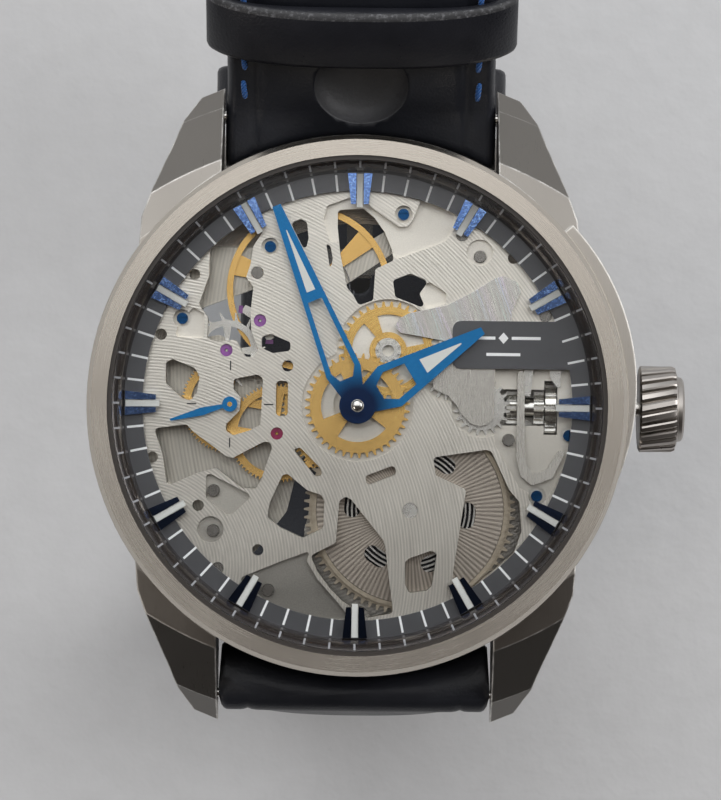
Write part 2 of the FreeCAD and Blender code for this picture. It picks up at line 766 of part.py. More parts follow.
def bridges():
    """Barrel bridge, train bridge, balance cock and pallet bridge."""
    barrel_outline = [
        (2.2, 1.2), (8.0, 6.0), (12.0, 10.5), (16.2, 7.9), (17.9, 3.0), (17.9, -3.0),
        (16.6, -7.3), (13.0, -12.4), (8.0, -16.3), (2.0, -18.0), (-1.2, -17.9), (-4.6, -13.0),
        (-3.4, -6.0), (0.2, -2.0),
    ]
    barrel = bridge(
        "barrel_bridge",
        barrel_outline,
        [BRIDGE_SCREWS[0], BRIDGE_SCREWS[1], BRIDGE_SCREWS[2]],
        [],
        [(BARREL, 0.92)],
    )
    # The winding pinion reaches up through the bridge to the crown wheel.
    sketch = new_sketch(barrel, size("bridge_high"))
    polygon(sketch, [(10.9, -2.3), (16.0, -2.3), (16.0, 2.3), (10.9, 2.3)])
    pocket(barrel, sketch, size("bridge_high") - size("bridge_low"))
    train_outline = [
        (1.2, 1.2), (-1.2, 1.9), (-8.2, 3.0), (-11.0, 5.6), (-13.2, 5.2), (-17.6, 4.6),
        (-17.9, 2.6), (-17.6, -3.6), (-16.6, -7.6), (-11.8, -13.8), (-9.6, -13.8),
        (-5.6, -8.6), (-4.6, -4.4), (-0.6, -1.5), (0.5, -1.1),
    ]
    bridge(
        "train_bridge",
        train_outline,
        [BRIDGE_SCREWS[3], BRIDGE_SCREWS[4], BRIDGE_SCREWS[5]],
        [CENTRE, THIRD, FOURTH, ESCAPE],
    )
    cock_outline = [
        (-3.0, 8.0), (-5.2, 8.0), (-6.0, 10.2), (-13.4, 7.4), (-15.8, 7.6), (-15.2, 9.9),
        (-12.6, 12.6), (-6.4, 12.6), (-2.6, 11.2), (3.0, 14.6), (4.5, 17.3), (6.5, 16.9),
        (6.6, 15.0), (-1.8, 9.2),
    ]
    bridge("balance_cock", cock_outline, [BRIDGE_SCREWS[6], BRIDGE_SCREWS[7]], [BALANCE])
    pallet = new_body("pallet_bridge")
    sketch = new_sketch(pallet, 4.03)
    rounded(sketch, [(-8.5, 7.1), (-7.4, 6.0), (-4.4, 4.6), (-3.6, 5.2), (-6.8, 7.6)], 0.3)
    pad(pallet, sketch, 0.25)
    disc(pallet, 0.42, 4.28, size("plate_low"), -4.4, 5.25)
    holes(pallet, [PALLET], size("jewel_radius") * 0.7, 4.28, 0.25)


def dial_side_bridges():
    """The curved bridge over the minute wheel and the plate over the setting wheels."""
    high = size("plate_high")
    cover = new_body("minute_train_bridge")
    outline = [
        (3.4, 5.85), (2.85, 6.3), (3.3, 7.0), (4.0, 7.4), (7.0, 8.05), (9.0, 9.1),
        (10.8, 10.25), (11.5, 10.45), (12.6, 10.0), (12.9, 9.2), (12.2, 7.6), (12.2, 6.1),
        (8.6, 4.9), (5.4, 5.5),
    ]
    sketch = new_sketch(cover, high)
    rounded(sketch, outline)
    pad(cover, sketch, 0.38)
    setter = new_body("setting_wheel_bridge")
    outline = [
        (10.9, 4.6), (10.9, -0.9), (10.3, -1.4), (9.7, -1.55), (9.0, -1.3), (8.3, -0.6),
        (7.9, 0.1), (7.2, 0.9), (6.0, 1.4), (6.1, 3.6), (8.8, 4.6),
    ]
    sketch = new_sketch(setter, high)
    rounded(sketch, outline, 0.25)
    pad(setter, sketch, 0.35)
    for place in (SETTER_SMALL, SETTER_LARGE):
        disc(setter, 0.3, high - 0.6, high, place[0], place[1])
    spring = new_body("setting_lever_spring")
    outline = [
        (12.75, 2.9), (12.7, -4.0), (13.1, -5.5), (14.0, -6.2), (15.6, -5.6), (16.6, -3.6),
        (16.1, -3.3), (15.2, -4.9), (14.2, -5.3), (13.5, -4.6), (13.35, -2.9), (13.3, 2.9),
    ]
    sketch = new_sketch(spring, size("plate_step") + 0.45)
    rounded(sketch, outline, 0.25)
    pad(spring, sketch, 0.25)


def fasteners():
    """Blued screws of the dial side, screws of the bridges, and steady pins."""
    high = size("plate_high")
    blued = []
    for x, y in DIAL_SCREWS:
        screw = doc.addObject("PartDesign::Body", "dial_screw")
        disc(screw, 0.45, high - 0.9, high - 0.3, x, y)
        disc(screw, 0.28, size("plate_low") + 0.2, high - 0.9, x, y)
        slot_cut(screw, x, y, high - 0.3, 0.25, False)
        blued.append(screw)
    plain_group("dial_side_screws", blued)
    low = size("bridge_low")
    steel = []
    for x, y in BRIDGE_SCREWS:
        screw = doc.addObject("PartDesign::Body", "bridge_screw")
        disc(screw, 0.66, low - 0.15, low + 0.35, x, y)
        disc(screw, 0.28, low + 0.35, size("plate_low") - 0.2, x, y)
        slot_cut(screw, x, y, low - 0.15, 0.2, True)
        steel.append(screw)
    plain_group("bridge_screws", steel)
    pins = [cylinder(0.46, size("plate_low") + 0.1, high, x, y) for x, y in STEADY_PINS]
    plain_group("steady_pins", pins)


def slot_cut(screw, x, y, level, depth, upwards):
    """The driver slot across a screw head."""
    sketch = new_sketch(screw, level)
    polygon(sketch, [(x - 0.8, y - 0.08), (x + 0.8, y - 0.08), (x + 0.8, y + 0.08),
                     (x - 0.8, y + 0.08)])
    pocket(screw, sketch, depth, upwards=upwards)


def jewels():
    """Ruby bearings in the plate and in the bridges."""
    stones = []
    levels = [(size("plate_high") - 0.85, size("plate_high") - 0.2, BOTTOM_JEWELS)]
    back = [CENTRE, THIRD, FOURTH, ESCAPE, BALANCE]
    levels.append((size("bridge_low") + 0.05, size("bridge_high") - 0.05, back))
    for low, high, places in levels:
        for x, y in places:
            outer = cylinder(size("jewel_radius") - 0.005, low, high, x, y, "stone")
            bore = cylinder(size("jewel_bore"), low, high, x, y, "bore")
            stones.append(cut(outer, bore))
    low = Size(4.03, "4.03")
    outer = cylinder(size("jewel_radius") * 0.7 - 0.005, low, low + 0.25, *PALLET, "stone")
    stones.append(cut(outer, cylinder(size("jewel_bore"), low, low + 0.25, *PALLET, "bore")))
    plain_group("jewels", stones)


# ---------------------------------------------------------------- going train

TOP_PIVOT = 5.95
LOW_PIVOT = 2.4


def going_train():
    """Barrel, centre, third, fourth and escape wheels with their arbors."""
    barrel_angle = heading(BARREL, CENTRE)
    drum = new_body("barrel_drum", *BARREL)
    sketch = new_sketch(drum, BARREL_LOW)
    polygon(sketch, tooth_ring(80, BARREL_PITCH, barrel_angle))
    circle(sketch, 0.66)
    pad(drum, sketch, BARREL_TEETH_HIGH - BARREL_LOW)
    disc(drum, 7.85, BARREL_TEETH_HIGH, BARREL_HIGH)
    sketch = new_sketch(drum, BARREL_HIGH)
    circle(sketch, 7.5)
    pocket(drum, sketch, BARREL_HIGH - 3.75)
    holes(drum, [CENTRE], 0.66, BARREL_HIGH, 2.0)
    cover = new_body("barrel_cover", *BARREL)
    sketch = new_sketch(cover, BARREL_HIGH - 0.22)
    circle(sketch, 7.48)
    circle(sketch, 0.66)
    for angle in (55, -5, -65, -125, 175, 115):
        oval(sketch, around(4.6, angle), angle, 1.05, 0.66)
    pad(cover, sketch, 0.22)
    spring = new_body("mainspring", *BARREL)
    sketch = new_sketch(spring, 3.8)
    spiral_band(sketch, 1.3, 7.3, 9, 0.22)
    pad(spring, sketch, 0.65)
    axle = new_body("barrel_arbor", *BARREL)
    disc(axle, 0.6, 2.15, size("plate_high") - 0.25)
    disc(axle, 1.15, 3.78, 4.45)
    disc(axle, 0.85, 2.2, 3.1)

    centre = new_body("center_wheel", *CENTRE)
    angle = meshed(BARREL, 80, barrel_angle, CENTRE, 10)
    pinion(centre, 10, CENTRE_PINION_PITCH, CENTRE_WHEEL_LOW, 4.05, angle)
    wheel_angle = heading(CENTRE, THIRD)
    spoked_gear(centre, 80, CENTRE_PITCH, CENTRE_WHEEL_LOW,
                CENTRE_WHEEL_LOW + size("wheel_thickness"), wheel_angle, 5, 1.7, 5.1)
    disc(centre, 0.5, 4.05, 6.0)
    disc(centre, size("pivot_radius"), LOW_PIVOT, CENTRE_WHEEL_LOW)
    third_angle = meshed(CENTRE, 80, wheel_angle, THIRD, 10)
    third = new_body("third_wheel", *THIRD)
    pinion(third, 10, THIRD_PINION_PITCH, 3.08, 3.55, third_angle)
    wheel_angle = heading(THIRD, FOURTH)
    spoked_gear(third, 75, THIRD_PITCH, THIRD_WHEEL_LOW,
                THIRD_WHEEL_LOW + size("wheel_thickness") * 0.8, wheel_angle, 4, 0.95, 3.2)
    disc(third, 0.24, 3.55, 4.7)
    disc(third, size("pivot_radius"), LOW_PIVOT, 3.08)
    disc(third, size("pivot_radius"), 4.7, TOP_PIVOT)
    fourth_angle = meshed(THIRD, 75, wheel_angle, FOURTH, 10)
    fourth = new_body("fourth_wheel", *FOURTH)
    pinion(fourth, 10, FOURTH_PINION_PITCH, 4.1, 4.7, fourth_angle)
    wheel_angle = heading(FOURTH, ESCAPE)
    spoked_gear(fourth, 80, FOURTH_PITCH, FOURTH_WHEEL_LOW,
                FOURTH_WHEEL_LOW + size("wheel_thickness") * 0.8, wheel_angle, 4, 0.95, 3.25)
    disc(fourth, 0.3, 3.1, 4.1)
    disc(fourth, size("pivot_radius"), LOW_PIVOT, 3.1)
    disc(fourth, 0.2, 4.7, size("seconds_hand_low") + 0.25)
    escape_angle = meshed(FOURTH, 80, wheel_angle, ESCAPE, 8)
    escape = new_body("escape_wheel", *ESCAPE)
    pinion(escape, 8, ESCAPE_PINION_PITCH, 3.5, 4.15, escape_angle)
    sketch = new_sketch(escape, ESCAPE_WHEEL_LOW)
    polygon(sketch, escape_teeth())
    for index in range(4):
        sector(sketch, 0.75, 1.95, 90 * index + 10, 90 * index + 80)
    pad(escape, sketch, 0.15)
    disc(escape, 0.25, 3.1, 4.7)
    disc(escape, size("pivot_radius"), LOW_PIVOT, 3.1)
    disc(escape, size("pivot_radius"), 4.7, TOP_PIVOT)


def oval(sketch, place, angle, long_half, short_half):
    """A slot with round ends, lying along angle + 90 degrees."""
    along = Vector(*around(1, angle + 90), 0)
    across = Vector(*around(1, angle), 0)
    centre = Vector(place[0], place[1], 0)
    reach = long_half - short_half
    ends = [centre + along * reach, centre - along * reach]
    for end, outward in zip(ends, (along, along * -1)):
        sketch.addGeometry(
            Part.Arc(end + across * short_half, end + outward * short_half,
                     end - across * short_half), False)
    for side in (1, -1):
        sketch.addGeometry(
            Part.LineSegment(ends[0] + across * short_half * side,
                             ends[1] + across * short_half * side), False)


def spiral_band(sketch, inner, outer, turns, thickness):
    """A flat coil made of half circles that grow by an even step."""
    halves = 2 * turns
    step = (outer - inner) / halves
    for index in range(halves):
        radius = inner + step * (index + 0.5)
        centre = (step / 2 if index % 2 else -step / 2, 0.0)
        turn = 180 * (index % 2)
        for side in (-1, 1):
            sketch.addGeometry(
                arc_about(centre, radius + side * thickness / 2, turn, turn + 180), False)
    for reach in (inner, -outer if halves % 2 else outer):
        sketch.addGeometry(
            Part.LineSegment(Vector(reach - thickness / 2, 0, 0),
                             Vector(reach + thickness / 2, 0, 0)), False)


def escape_teeth():
    """Fifteen raked teeth of the escape wheel."""
    corners = []
    for tooth in range(15):
        start = 24 * tooth
        corners.append(around(2.45, start - 9))
        corners.append(around(2.5, start - 2))
        corners.append(around(3.1, start + 5))
        corners.append(around(3.08, start + 6.5))
        corners.append(around(2.45, start + 4))
    return corners


def escapement():
    """Pallet fork with its two stones, balance wheel, staff and hairspring."""
    fork = new_body("pallet_fork", *PALLET)
    toward = heading(PALLET, BALANCE)
    outward = heading(ESCAPE, PALLET)
    sketch = new_sketch(fork, ESCAPE_WHEEL_LOW)
    reach = distance(PALLET, BALANCE)
    outline = [
        (0.45, -0.5), (2.6, -0.16), (reach - 1.75, -0.62), (reach - 1.2, -0.62),
        (reach - 1.12, -0.4), (reach - 1.62, -0.36), (reach - 1.62, 0.36),
        (reach - 1.12, 0.4), (reach - 1.2, 0.62), (reach - 1.75, 0.62), (2.6, 0.16),
        (0.45, 0.5),
    ]
    outline += [around(1.75, 100), around(1.75, 121), around(0.4, 160), around(0.4, 216),
                around(1.75, 255), around(1.75, 276)]
    spin = math.radians(toward)
    polygon(sketch, [(x * math.cos(spin) - y * math.sin(spin),
                      x * math.sin(spin) + y * math.cos(spin)) for x, y in outline])
    pad(fork, sketch, 0.15)
    disc(fork, 0.22, 4.33, 4.72)
    disc(fork, size("pivot_radius"), 4.05, 4.33)
    disc(fork, size("pivot_radius"), 4.72, TOP_PIVOT)
    stones = []
    for side in (-1, 1):
        stone = doc.addObject("PartDesign::Body", "pallet_stone")
        x, y = around(3.45, outward + side * 30.0, ESCAPE)
        place = (x, y)
        along = heading(ESCAPE, place)
        stone.Placement = FreeCAD.Placement(
            Vector(x, y, 0), FreeCAD.Rotation(Vector(0, 0, 1), along + 180 + 12 * side))
        sketch = new_sketch(stone, ESCAPE_WHEEL_LOW + 0.16)
        polygon(sketch, [(-0.32, -0.17), (0.26, -0.17), (0.32, 0.17), (-0.32, 0.17)])
        pad(stone, sketch, 0.14)
        stones.append(stone)
    plain_group("pallet_stones", stones)

    wheel = new_body("balance_wheel", *BALANCE)
    sketch = new_sketch(wheel, 3.42)
    circle(sketch, 6.6)
    circle(sketch, 6.1)
    pad(wheel, sketch, 0.55)
    sketch = new_sketch(wheel, 3.48)
    circle(sketch, 6.3)
    circle(sketch, 0.36)
    for index in range(3):
        middle = 42 + 120 * index
        sector(sketch, 1.3, 6.12, middle + 8, middle + 112)
    pad(wheel, sketch, 0.17)
    staff = new_body("balance_staff", *BALANCE)
    disc(staff, 0.35, 3.04, 4.05)
    disc(staff, 1.25, 4.05, 4.28)
    disc(staff, 0.3, 4.28, 4.8)
    disc(staff, size("pivot_radius"), LOW_PIVOT, 3.04)
    disc(staff, size("pivot_radius"), 4.8, TOP_PIVOT)
    pin = around(1.0, heading(BALANCE, PALLET))
    disc(staff, 0.11, 4.28, 4.58, pin[0], pin[1])
    spring = new_body("hairspring", *BALANCE)
    sketch = new_sketch(spring, 3.1)
    spiral_band(sketch, 0.6, 3.6, 10, 0.06)
    pad(spring, sketch, 0.2)


# ---------------------------------------------------------------- motion work and hands


def motion_work():
    """Cannon pinion, minute wheel and hour wheel under the hands."""
    cannon = new_body("cannon_pinion")
    cannon_angle = heading(CENTRE, MINUTE)
    sketch = new_sketch(cannon, MINUTE_WHEEL_LOW - 0.05)
    polygon(sketch, tooth_ring(12, CANNON_PITCH, cannon_angle))
    pad(cannon, sketch, 0.33)
    disc(cannon, 0.5, 6.3, size("minute_hand_low") + 0.55)
    minute_angle = meshed(CENTRE, 12, cannon_angle, MINUTE, 36)
    minute = new_body("minute_wheel", *MINUTE)
    spoked_gear(minute, 36, MINUTE_PITCH, MINUTE_WHEEL_LOW, MINUTE_WHEEL_LOW + 0.22,
                minute_angle, 3, 1.5, 2.9)
    back = heading(MINUTE, CENTRE)
    pinion(minute, 10, MINUTE_PINION_PITCH, MINUTE_WHEEL_LOW + 0.22, 6.75, back)
    holes(minute, [CENTRE], 0.46, 6.75, 0.75)
    hour = new_body("hour_wheel")
    hour_angle = meshed(MINUTE, 10, back, CENTRE, 40)
    sketch = new_sketch(hour, HOUR_WHEEL_LOW)
    polygon(sketch, tooth_ring(40, HOUR_PITCH, hour_angle))
    circle(sketch, 0.56)
    for middle in (-80, 160, 40):
        sector(sketch, 1.3, 2.9, middle - 42, middle + 42)
    pad(hour, sketch, 0.24)
    sketch = new_sketch(hour, HOUR_WHEEL_LOW + 0.24)
    circle(sketch, 0.95)
    circle(sketch, 0.56)
    pad(hour, sketch, size("hour_hand_low") - 6.66)
    small_angle = meshed(MINUTE, 36, minute_angle, SETTER_SMALL, 14)
    small = new_body("setting_wheel_small", *SETTER_SMALL)
    sketch = new_sketch(small, MINUTE_WHEEL_LOW)
    polygon(sketch, tooth_ring(14, SETTER_SMALL_PITCH, small_angle))
    circle(sketch, 0.35)
    pad(small, sketch, 0.22)
    large = new_body("setting_wheel_large", *SETTER_LARGE)
    sketch = new_sketch(large, MINUTE_WHEEL_LOW)
    large_angle = meshed(SETTER_SMALL, 14, small_angle, SETTER_LARGE, 20)
    polygon(sketch, tooth_ring(20, SETTER_LARGE_PITCH, large_angle))
    circle(sketch, 0.35)
    pad(large, sketch, 0.22)


MINUTE_HAND_ANGLE = 112.7
HOUR_HAND_ANGLE = 31.6
SECONDS_HAND_ANGLE = 195.5


def hands():
    """Open dauphine hour and minute hands, and the small seconds hand."""
    thickness = size("hand_thickness")
    minute = new_body("minute_hand", turn=MINUTE_HAND_ANGLE)
    low = size("minute_hand_low")
    sketch = new_sketch(minute, low)
    polygon(sketch, [(0.9, 0.9), (2.9, 1.45), (17.1, 0.35), (17.1, -0.35), (2.9, -1.45),
                     (0.9, -0.9)])
    polygon(sketch, [(2.3, 0.55), (3.1, 1.0), (9.0, 0.58), (9.0, -0.58), (3.1, -1.0),
                     (2.3, -0.55)])
    pad(minute, sketch, thickness)
    disc(minute, 1.4, low, low + thickness)
    disc(minute, 0.75, low + thickness, low + 0.45)
    holes(minute, [CENTRE], 0.5, low + 0.45, 0.45)
    hour = new_body("hour_hand", turn=HOUR_HAND_ANGLE)
    low = size("hour_hand_low")
    sketch = new_sketch(hour, low)
    polygon(sketch, [(0.9, 1.1), (3.0, 1.85), (11.6, 0.3), (11.6, -0.3), (3.0, -1.85),
                     (0.9, -1.1)])
    polygon(sketch, [(2.1, 0.6), (3.1, 1.25), (4.9, 0.95), (4.9, -0.95), (3.1, -1.25),
                     (2.1, -0.6)])
    pad(hour, sketch, thickness)
    disc(hour, 1.45, low, low + thickness)
    holes(hour, [CENTRE], 0.56, low + thickness, thickness)
    seconds = new_body("seconds_hand", *FOURTH, turn=SECONDS_HAND_ANGLE)
    low = size("seconds_hand_low")
    sketch = new_sketch(seconds, low)
    polygon(sketch, [(0.3, 0.12), (2.3, 0.32), (4.9, 0.08), (4.9, -0.08), (2.3, -0.32),
                     (0.3, -0.12)])
    pad(seconds, sketch, thickness)
    disc(seconds, 0.6, low, low + 0.3)
    holes(seconds, [CENTRE], 0.2, low + 0.3, 0.3)


# ---------------------------------------------------------------- winding and setting


def sideways(node):
    """A body whose own X axis lies along the winding stem."""
    return new_body(node, 0.0, 0.0, size("stem_height"))


def round_run(body, start, end, radius):
    """A round stretch along X."""
    sketch = new_sketch(body, start, "YZ_Plane")
    circle(sketch, radius)
    pad(body, sketch, end - start)


def toothed_run(body, start, end, teeth, radius):
    """A toothed stretch along X."""
    sketch = new_sketch(body, start, "YZ_Plane")
    polygon(sketch, tooth_ring(teeth, radius, 90.0 + 180.0 / teeth, 0.35, 0.45))
    pad(body, sketch, end - start)


CROWN_INNER = 22.5
CROWN_OUTER = 25.4


def winding_works():
    """Crown, stem, winding pinion, sliding clutch, levers and the winding wheels."""
    crown = sideways("crown")
    sketch = new_sketch(crown, CROWN_INNER, "YZ_Plane")
    flutes = 24
    corners = []
    for flute in range(flutes):
        for share, radius in ((-0.3, 3.45), (0.3, 3.45), (0.42, 3.15), (0.58, 3.15)):
            corners.append(around(radius, (flute + share) * 360 / flutes))
    polygon(sketch, corners)
    pad(crown, sketch, CROWN_OUTER - CROWN_INNER)
    dome = [(CROWN_OUTER - 0.1, 0.0), (CROWN_OUTER - 0.1, 3.0), (CROWN_OUTER + 0.4, 2.6),
            (CROWN_OUTER + 0.7, 1.5), (CROWN_OUTER + 0.8, 0.0)]
    revolve(crown, dome, "H_Axis")
    sketch = new_sketch(crown, CROWN_INNER, "YZ_Plane")
    circle(sketch, 0.65)
    pocket(crown, sketch, 1.6, upwards=True)

    stem = sideways("winding_stem")
    round_run(stem, 11.3, CROWN_INNER + 1.5, 0.42)
    round_run(stem, 16.3, CROWN_INNER + 1.5, 0.6)

    winder = sideways("winding_pinion")
    toothed_run(winder, 15.0, 15.85, 18, 1.85)
    sketch = new_sketch(winder, 15.85, "YZ_Plane")
    circle(sketch, 0.5)
    pocket(winder, sketch, 0.9)

    clutch = sideways("sliding_clutch")
    toothed_run(clutch, 11.9, 12.9, 12, 1.2)
    round_run(clutch, 12.9, 14.1, 0.8)
    toothed_run(clutch, 14.1, 14.9, 12, 1.2)
    sketch = new_sketch(clutch, 14.9, "YZ_Plane")
    circle(sketch, 0.5)
    pocket(clutch, sketch, 3.1)

    yoke = new_body("clutch_yoke")
    low = size("plate_step") - 0.3
    sketch = new_sketch(yoke, low + 0.35)
    rounded(sketch, [(13.3, 4.6), (13.25, 0.95), (13.8, 0.95), (14.1, 4.0), (14.0, 4.9)], 0.2)
    pad(yoke, sketch, 0.3)
    sketch = new_sketch(yoke, 4.9)
    polygon(sketch, [(13.3, 0.95), (13.75, 0.95), (13.75, 1.2), (13.3, 1.2)])
    pad(yoke, sketch, low + 0.65 - 4.9)

    lever = new_body("setting_lever")
    sketch = new_sketch(lever, size("plate_step") + 0.02)
    rounded(sketch, [(16.2, 1.2), (16.2, 4.2), (15.2, 5.2), (14.5, 4.6), (15.3, 3.6),
                     (15.35, 2.4)], 0.3)
    pad(lever, sketch, 0.35)

    crown_angle = heading(CROWN_WHEEL, BARREL)
    crown_wheel = new_body("crown_wheel", *CROWN_WHEEL)
    sketch = new_sketch(crown_wheel, RATCHET_LOW)
    polygon(sketch, tooth_ring(42, CROWN_WHEEL_PITCH, crown_angle))
    circle(sketch, 0.8)
    pad(crown_wheel, sketch, 0.4)
    ratchet = new_body("ratchet_wheel", *BARREL)
    sketch = new_sketch(ratchet, RATCHET_LOW)
    ratchet_angle = meshed(CROWN_WHEEL, 42, crown_angle, BARREL, 60)
    polygon(sketch, tooth_ring(60, RATCHET_PITCH, ratchet_angle))
    pad(ratchet, sketch, 0.4)
    disc(ratchet, 0.55, RATCHET_LOW + 0.4, 2.15)
    click = new_body("click")
    sketch = new_sketch(click, RATCHET_LOW + 0.05)
    rounded(sketch, [(-3.2, -6.2), (-2.3, -6.4), (-2.5, -8.6), (-3.6, -10.6), (-4.2, -10.2)],
            0.25)
    pad(click, sketch, 0.35)


# ---------------------------------------------------------------- strap and buckle


def band(sketch, start, direction, runs, half, pinch):
    """A band along straight and round runs, thinner for its first run, with a closed end."""
    here = Vector(start[0], start[1], 0)
    sides = {1: [], -1: []}
    angle = direction
    for index, (length, turn) in enumerate(runs):
        left = Vector(*around(1, angle + 90), 0)
        ahead = Vector(*around(1, angle), 0)
        near = pinch if index == 0 else half
        if turn:
            radius = length
            sign = 1 if turn > 0 else -1
            centre = here + left * radius * sign
            first = angle - 90 * sign
            for side in (1, -1):
                sides[side].append(
                    arc_about(centre, radius - side * sign * half, first, first + turn))
            here = Vector(*around(radius, first + turn, centre), 0)
            angle += turn
        else:
            there = here + ahead * length
            for side in (1, -1):
                sides[side].append(
                    Part.LineSegment(here + left * near * side, there + left * half * side))
            here = there
    for side in (1, -1):
        sketch.addGeometry(sides[side], False)
    left = Vector(*around(1, angle + 90), 0)
    ahead = Vector(*around(1, angle), 0)
    sketch.addGeometry(Part.Arc(here + left * half, here + ahead * half, here - left * half),
                       False)
    left = Vector(*around(1, direction + 90), 0)
    behind = Vector(*around(1, direction), 0) * -1
    begin = Vector(start[0], start[1], 0)
    sketch.addGeometry(Part.Arc(begin + left * pinch, begin + behind * pinch,
                                begin - left * pinch), False)
    return here, angle


SHORT_RUNS = [(3.0, 0), (10.4, 0), (11.0, -128), (22.0, -90), (8.0, 0)]
SHORT_HEADING = 38.0
LONG_RUNS = [(3.0, 0), (27.0, 4), (23.3, 0), (17.0, 88), (17.6, 0), (40.0, 20)]
LONG_HEADING = -92.0
STRAP_PINCH = 1.45
HOLE_PLACE = 4.2
KEEPER_PLACE = 9.3
KEEPER_WIDTH = 5.1


def along_short(run):
    """The place (y, z) on the straight stretch of the short half, a run from its bar."""
    return around(run, SHORT_HEADING, (SIZES["bar_offset"], SIZES["bar_height"]))


def strap():
    """Both halves of the strap, the buckle with its tongue and bar, and the keepers."""
    half = size("strap_half_thickness")
    width = size("strap_width")
    bar_z = size("bar_height")
    offset = size("bar_offset")
    ends = {}
    for node, side, direction, runs in (
        ("strap_short", 1, SHORT_HEADING, SHORT_RUNS),
        ("strap_long", -1, LONG_HEADING, LONG_RUNS),
    ):
        body = new_body(node)
        sketch = new_sketch(body, plane="YZ_Plane")
        start = (float(offset) * side, float(bar_z))
        ends[node] = band(sketch, start, direction, runs, float(half), STRAP_PINCH)
        circle(sketch, size("bar_radius") + 0.06, *start)
        if node == "strap_short":
            circle(sketch, 0.86, ends[node][0].x, ends[node][0].y)
        pad(body, sketch, width, midplane=True)
        if node == "strap_short":
            # A wide round hole next to the case, and a notch for the tongue at the buckle end.
            sketch = new_sketch(body)
            sketch.AttachmentOffset = FreeCAD.Placement(
                Vector(0, *along_short(HOLE_PLACE)),
                FreeCAD.Rotation(Vector(1, 0, 0), SHORT_HEADING))
            circle(sketch, 3.7)
            pocket(body, sketch, 10.0, midplane=True)
            end = ends[node][0]
            sketch = new_sketch(body, end.y + 3.0)
            polygon(sketch, [(-1.6, end.x - 3.0), (1.6, end.x - 3.0), (1.6, end.x + 2.2),
                             (-1.6, end.x + 2.2)])
            pocket(body, sketch, 6.0)
    buckle(ends["strap_short"][0])


def buckle(end):
    """Buckle frame, bar and tongue at the end of the short half, with both keepers."""
    bar = new_body("buckle_bar")
    sketch = new_sketch(bar, plane="YZ_Plane")
    circle(sketch, 0.8, end.x, end.y)
    pad(bar, sketch, 25.0, midplane=True)
    frame = new_body("buckle_frame", 0.0, end.x, end.y)
    sketch = new_sketch(frame, -1.25)
    rounded(sketch, [(-13.3, 1.4), (13.3, 1.4), (13.3, -10.4), (-13.3, -10.4)], 2.2)
    rounded(sketch, [(-11.1, 1.39), (11.1, 1.39), (11.1, -8.2), (-11.1, -8.2)], 0.8)
    pad(frame, sketch, 2.5)
    sketch = new_sketch(frame, -1.25)
    polygon(sketch, [(-11.1, 0.9), (11.1, 0.9), (11.1, 2.0), (-11.1, 2.0)])
    pocket(frame, sketch, 2.5, upwards=True)
    sketch = new_sketch(frame, plane="YZ_Plane")
    circle(sketch, 0.86)
    pocket(frame, sketch, 40.0, midplane=True)
    tongue = new_body("buckle_tongue", 0.0, end.x, end.y)
    sketch = new_sketch(tongue, plane="YZ_Plane")
    circle(sketch, 1.5)
    circle(sketch, 0.86)
    pad(tongue, sketch, 2.4, midplane=True)
    sketch = new_sketch(tongue, plane="YZ_Plane")
    polygon(sketch, [(-1.2, -0.6), (-2.0, -1.32), (-10.6, -1.32), (-10.6, -2.2), (-2.0, -2.2),
                     (-0.3, -1.45)])
    pad(tongue, sketch, 2.2, midplane=True)
    half = SIZES["strap_half_thickness"]
    free = new_body("keeper_free", 0.0, *along_short(KEEPER_PLACE))
    free.Placement.Rotation = FreeCAD.Rotation(Vector(1, 0, 0), SHORT_HEADING)
    keeper_loop(free, KEEPER_WIDTH, half, 0.12)
    fixed = new_body("keeper_fixed", 0.0, end.x + 4.9, end.y)
    keeper_loop(fixed, 5.0, half, 0.05)


def keeper_loop(body, width, half, gap):
    """A flat leather loop around the strap."""
    sketch = new_sketch(body, plane="XZ_Plane")
    reach = SIZES["strap_width"] / 2
    rounded(sketch, rectangle(reach + gap + 1.4, half + gap + 1.3), 1.6)
    rounded(sketch, rectangle(reach + gap, half + gap), 0.04)
    pad(body, sketch, width, midplane=True)


def rectangle(half_width, half_height):
    """Corners of a rectangle about the middle."""
    return [(-half_width, -half_height), (half_width, -half_height),
            (half_width, half_height), (-half_width, half_height)]


# ---------------------------------------------------------------- build and write


def failed(thing):
    """Whether an object of the document is in an error state."""
    return any(word in ("Invalid", "Error") for word in thing.State)


def main():
    """Build every sub-part, check it and write it."""
    case_middle()
    bezel()
    crystal()
    flange_ring()
    chapter_ring()
    hour_markers()
    case_back()
    movement_ring()
    spring_bars()
    main_plate()
    bridges()
    dial_side_bridges()
    fasteners()
    jewels()
    going_train()
    escapement()
    motion_work()
    hands()
    winding_works()
    strap()
    doc.recompute()
    broken = [thing.Label for thing in doc.Objects if failed(thing)]
    if broken:
        raise RuntimeError(f"failed objects: {broken}")
    for part in made_parts:
        if part.Shape.isNull() or not part.Shape.isValid():
            raise RuntimeError(f"{part.Label} has no valid shape")
    os.makedirs("parts", exist_ok=True)
    for part in made_parts:
        part.Shape.exportStep(f"parts/{part.Label}.step")
        print(part.Label, len(part.Shape.Solids), round(part.Shape.Volume, 3))
    print(len(made_parts), "nodes")


main()
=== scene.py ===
"""The skeleton wristwatch: looks, leather, dial marks, crown, camera and light round the CAD frame."""
import math

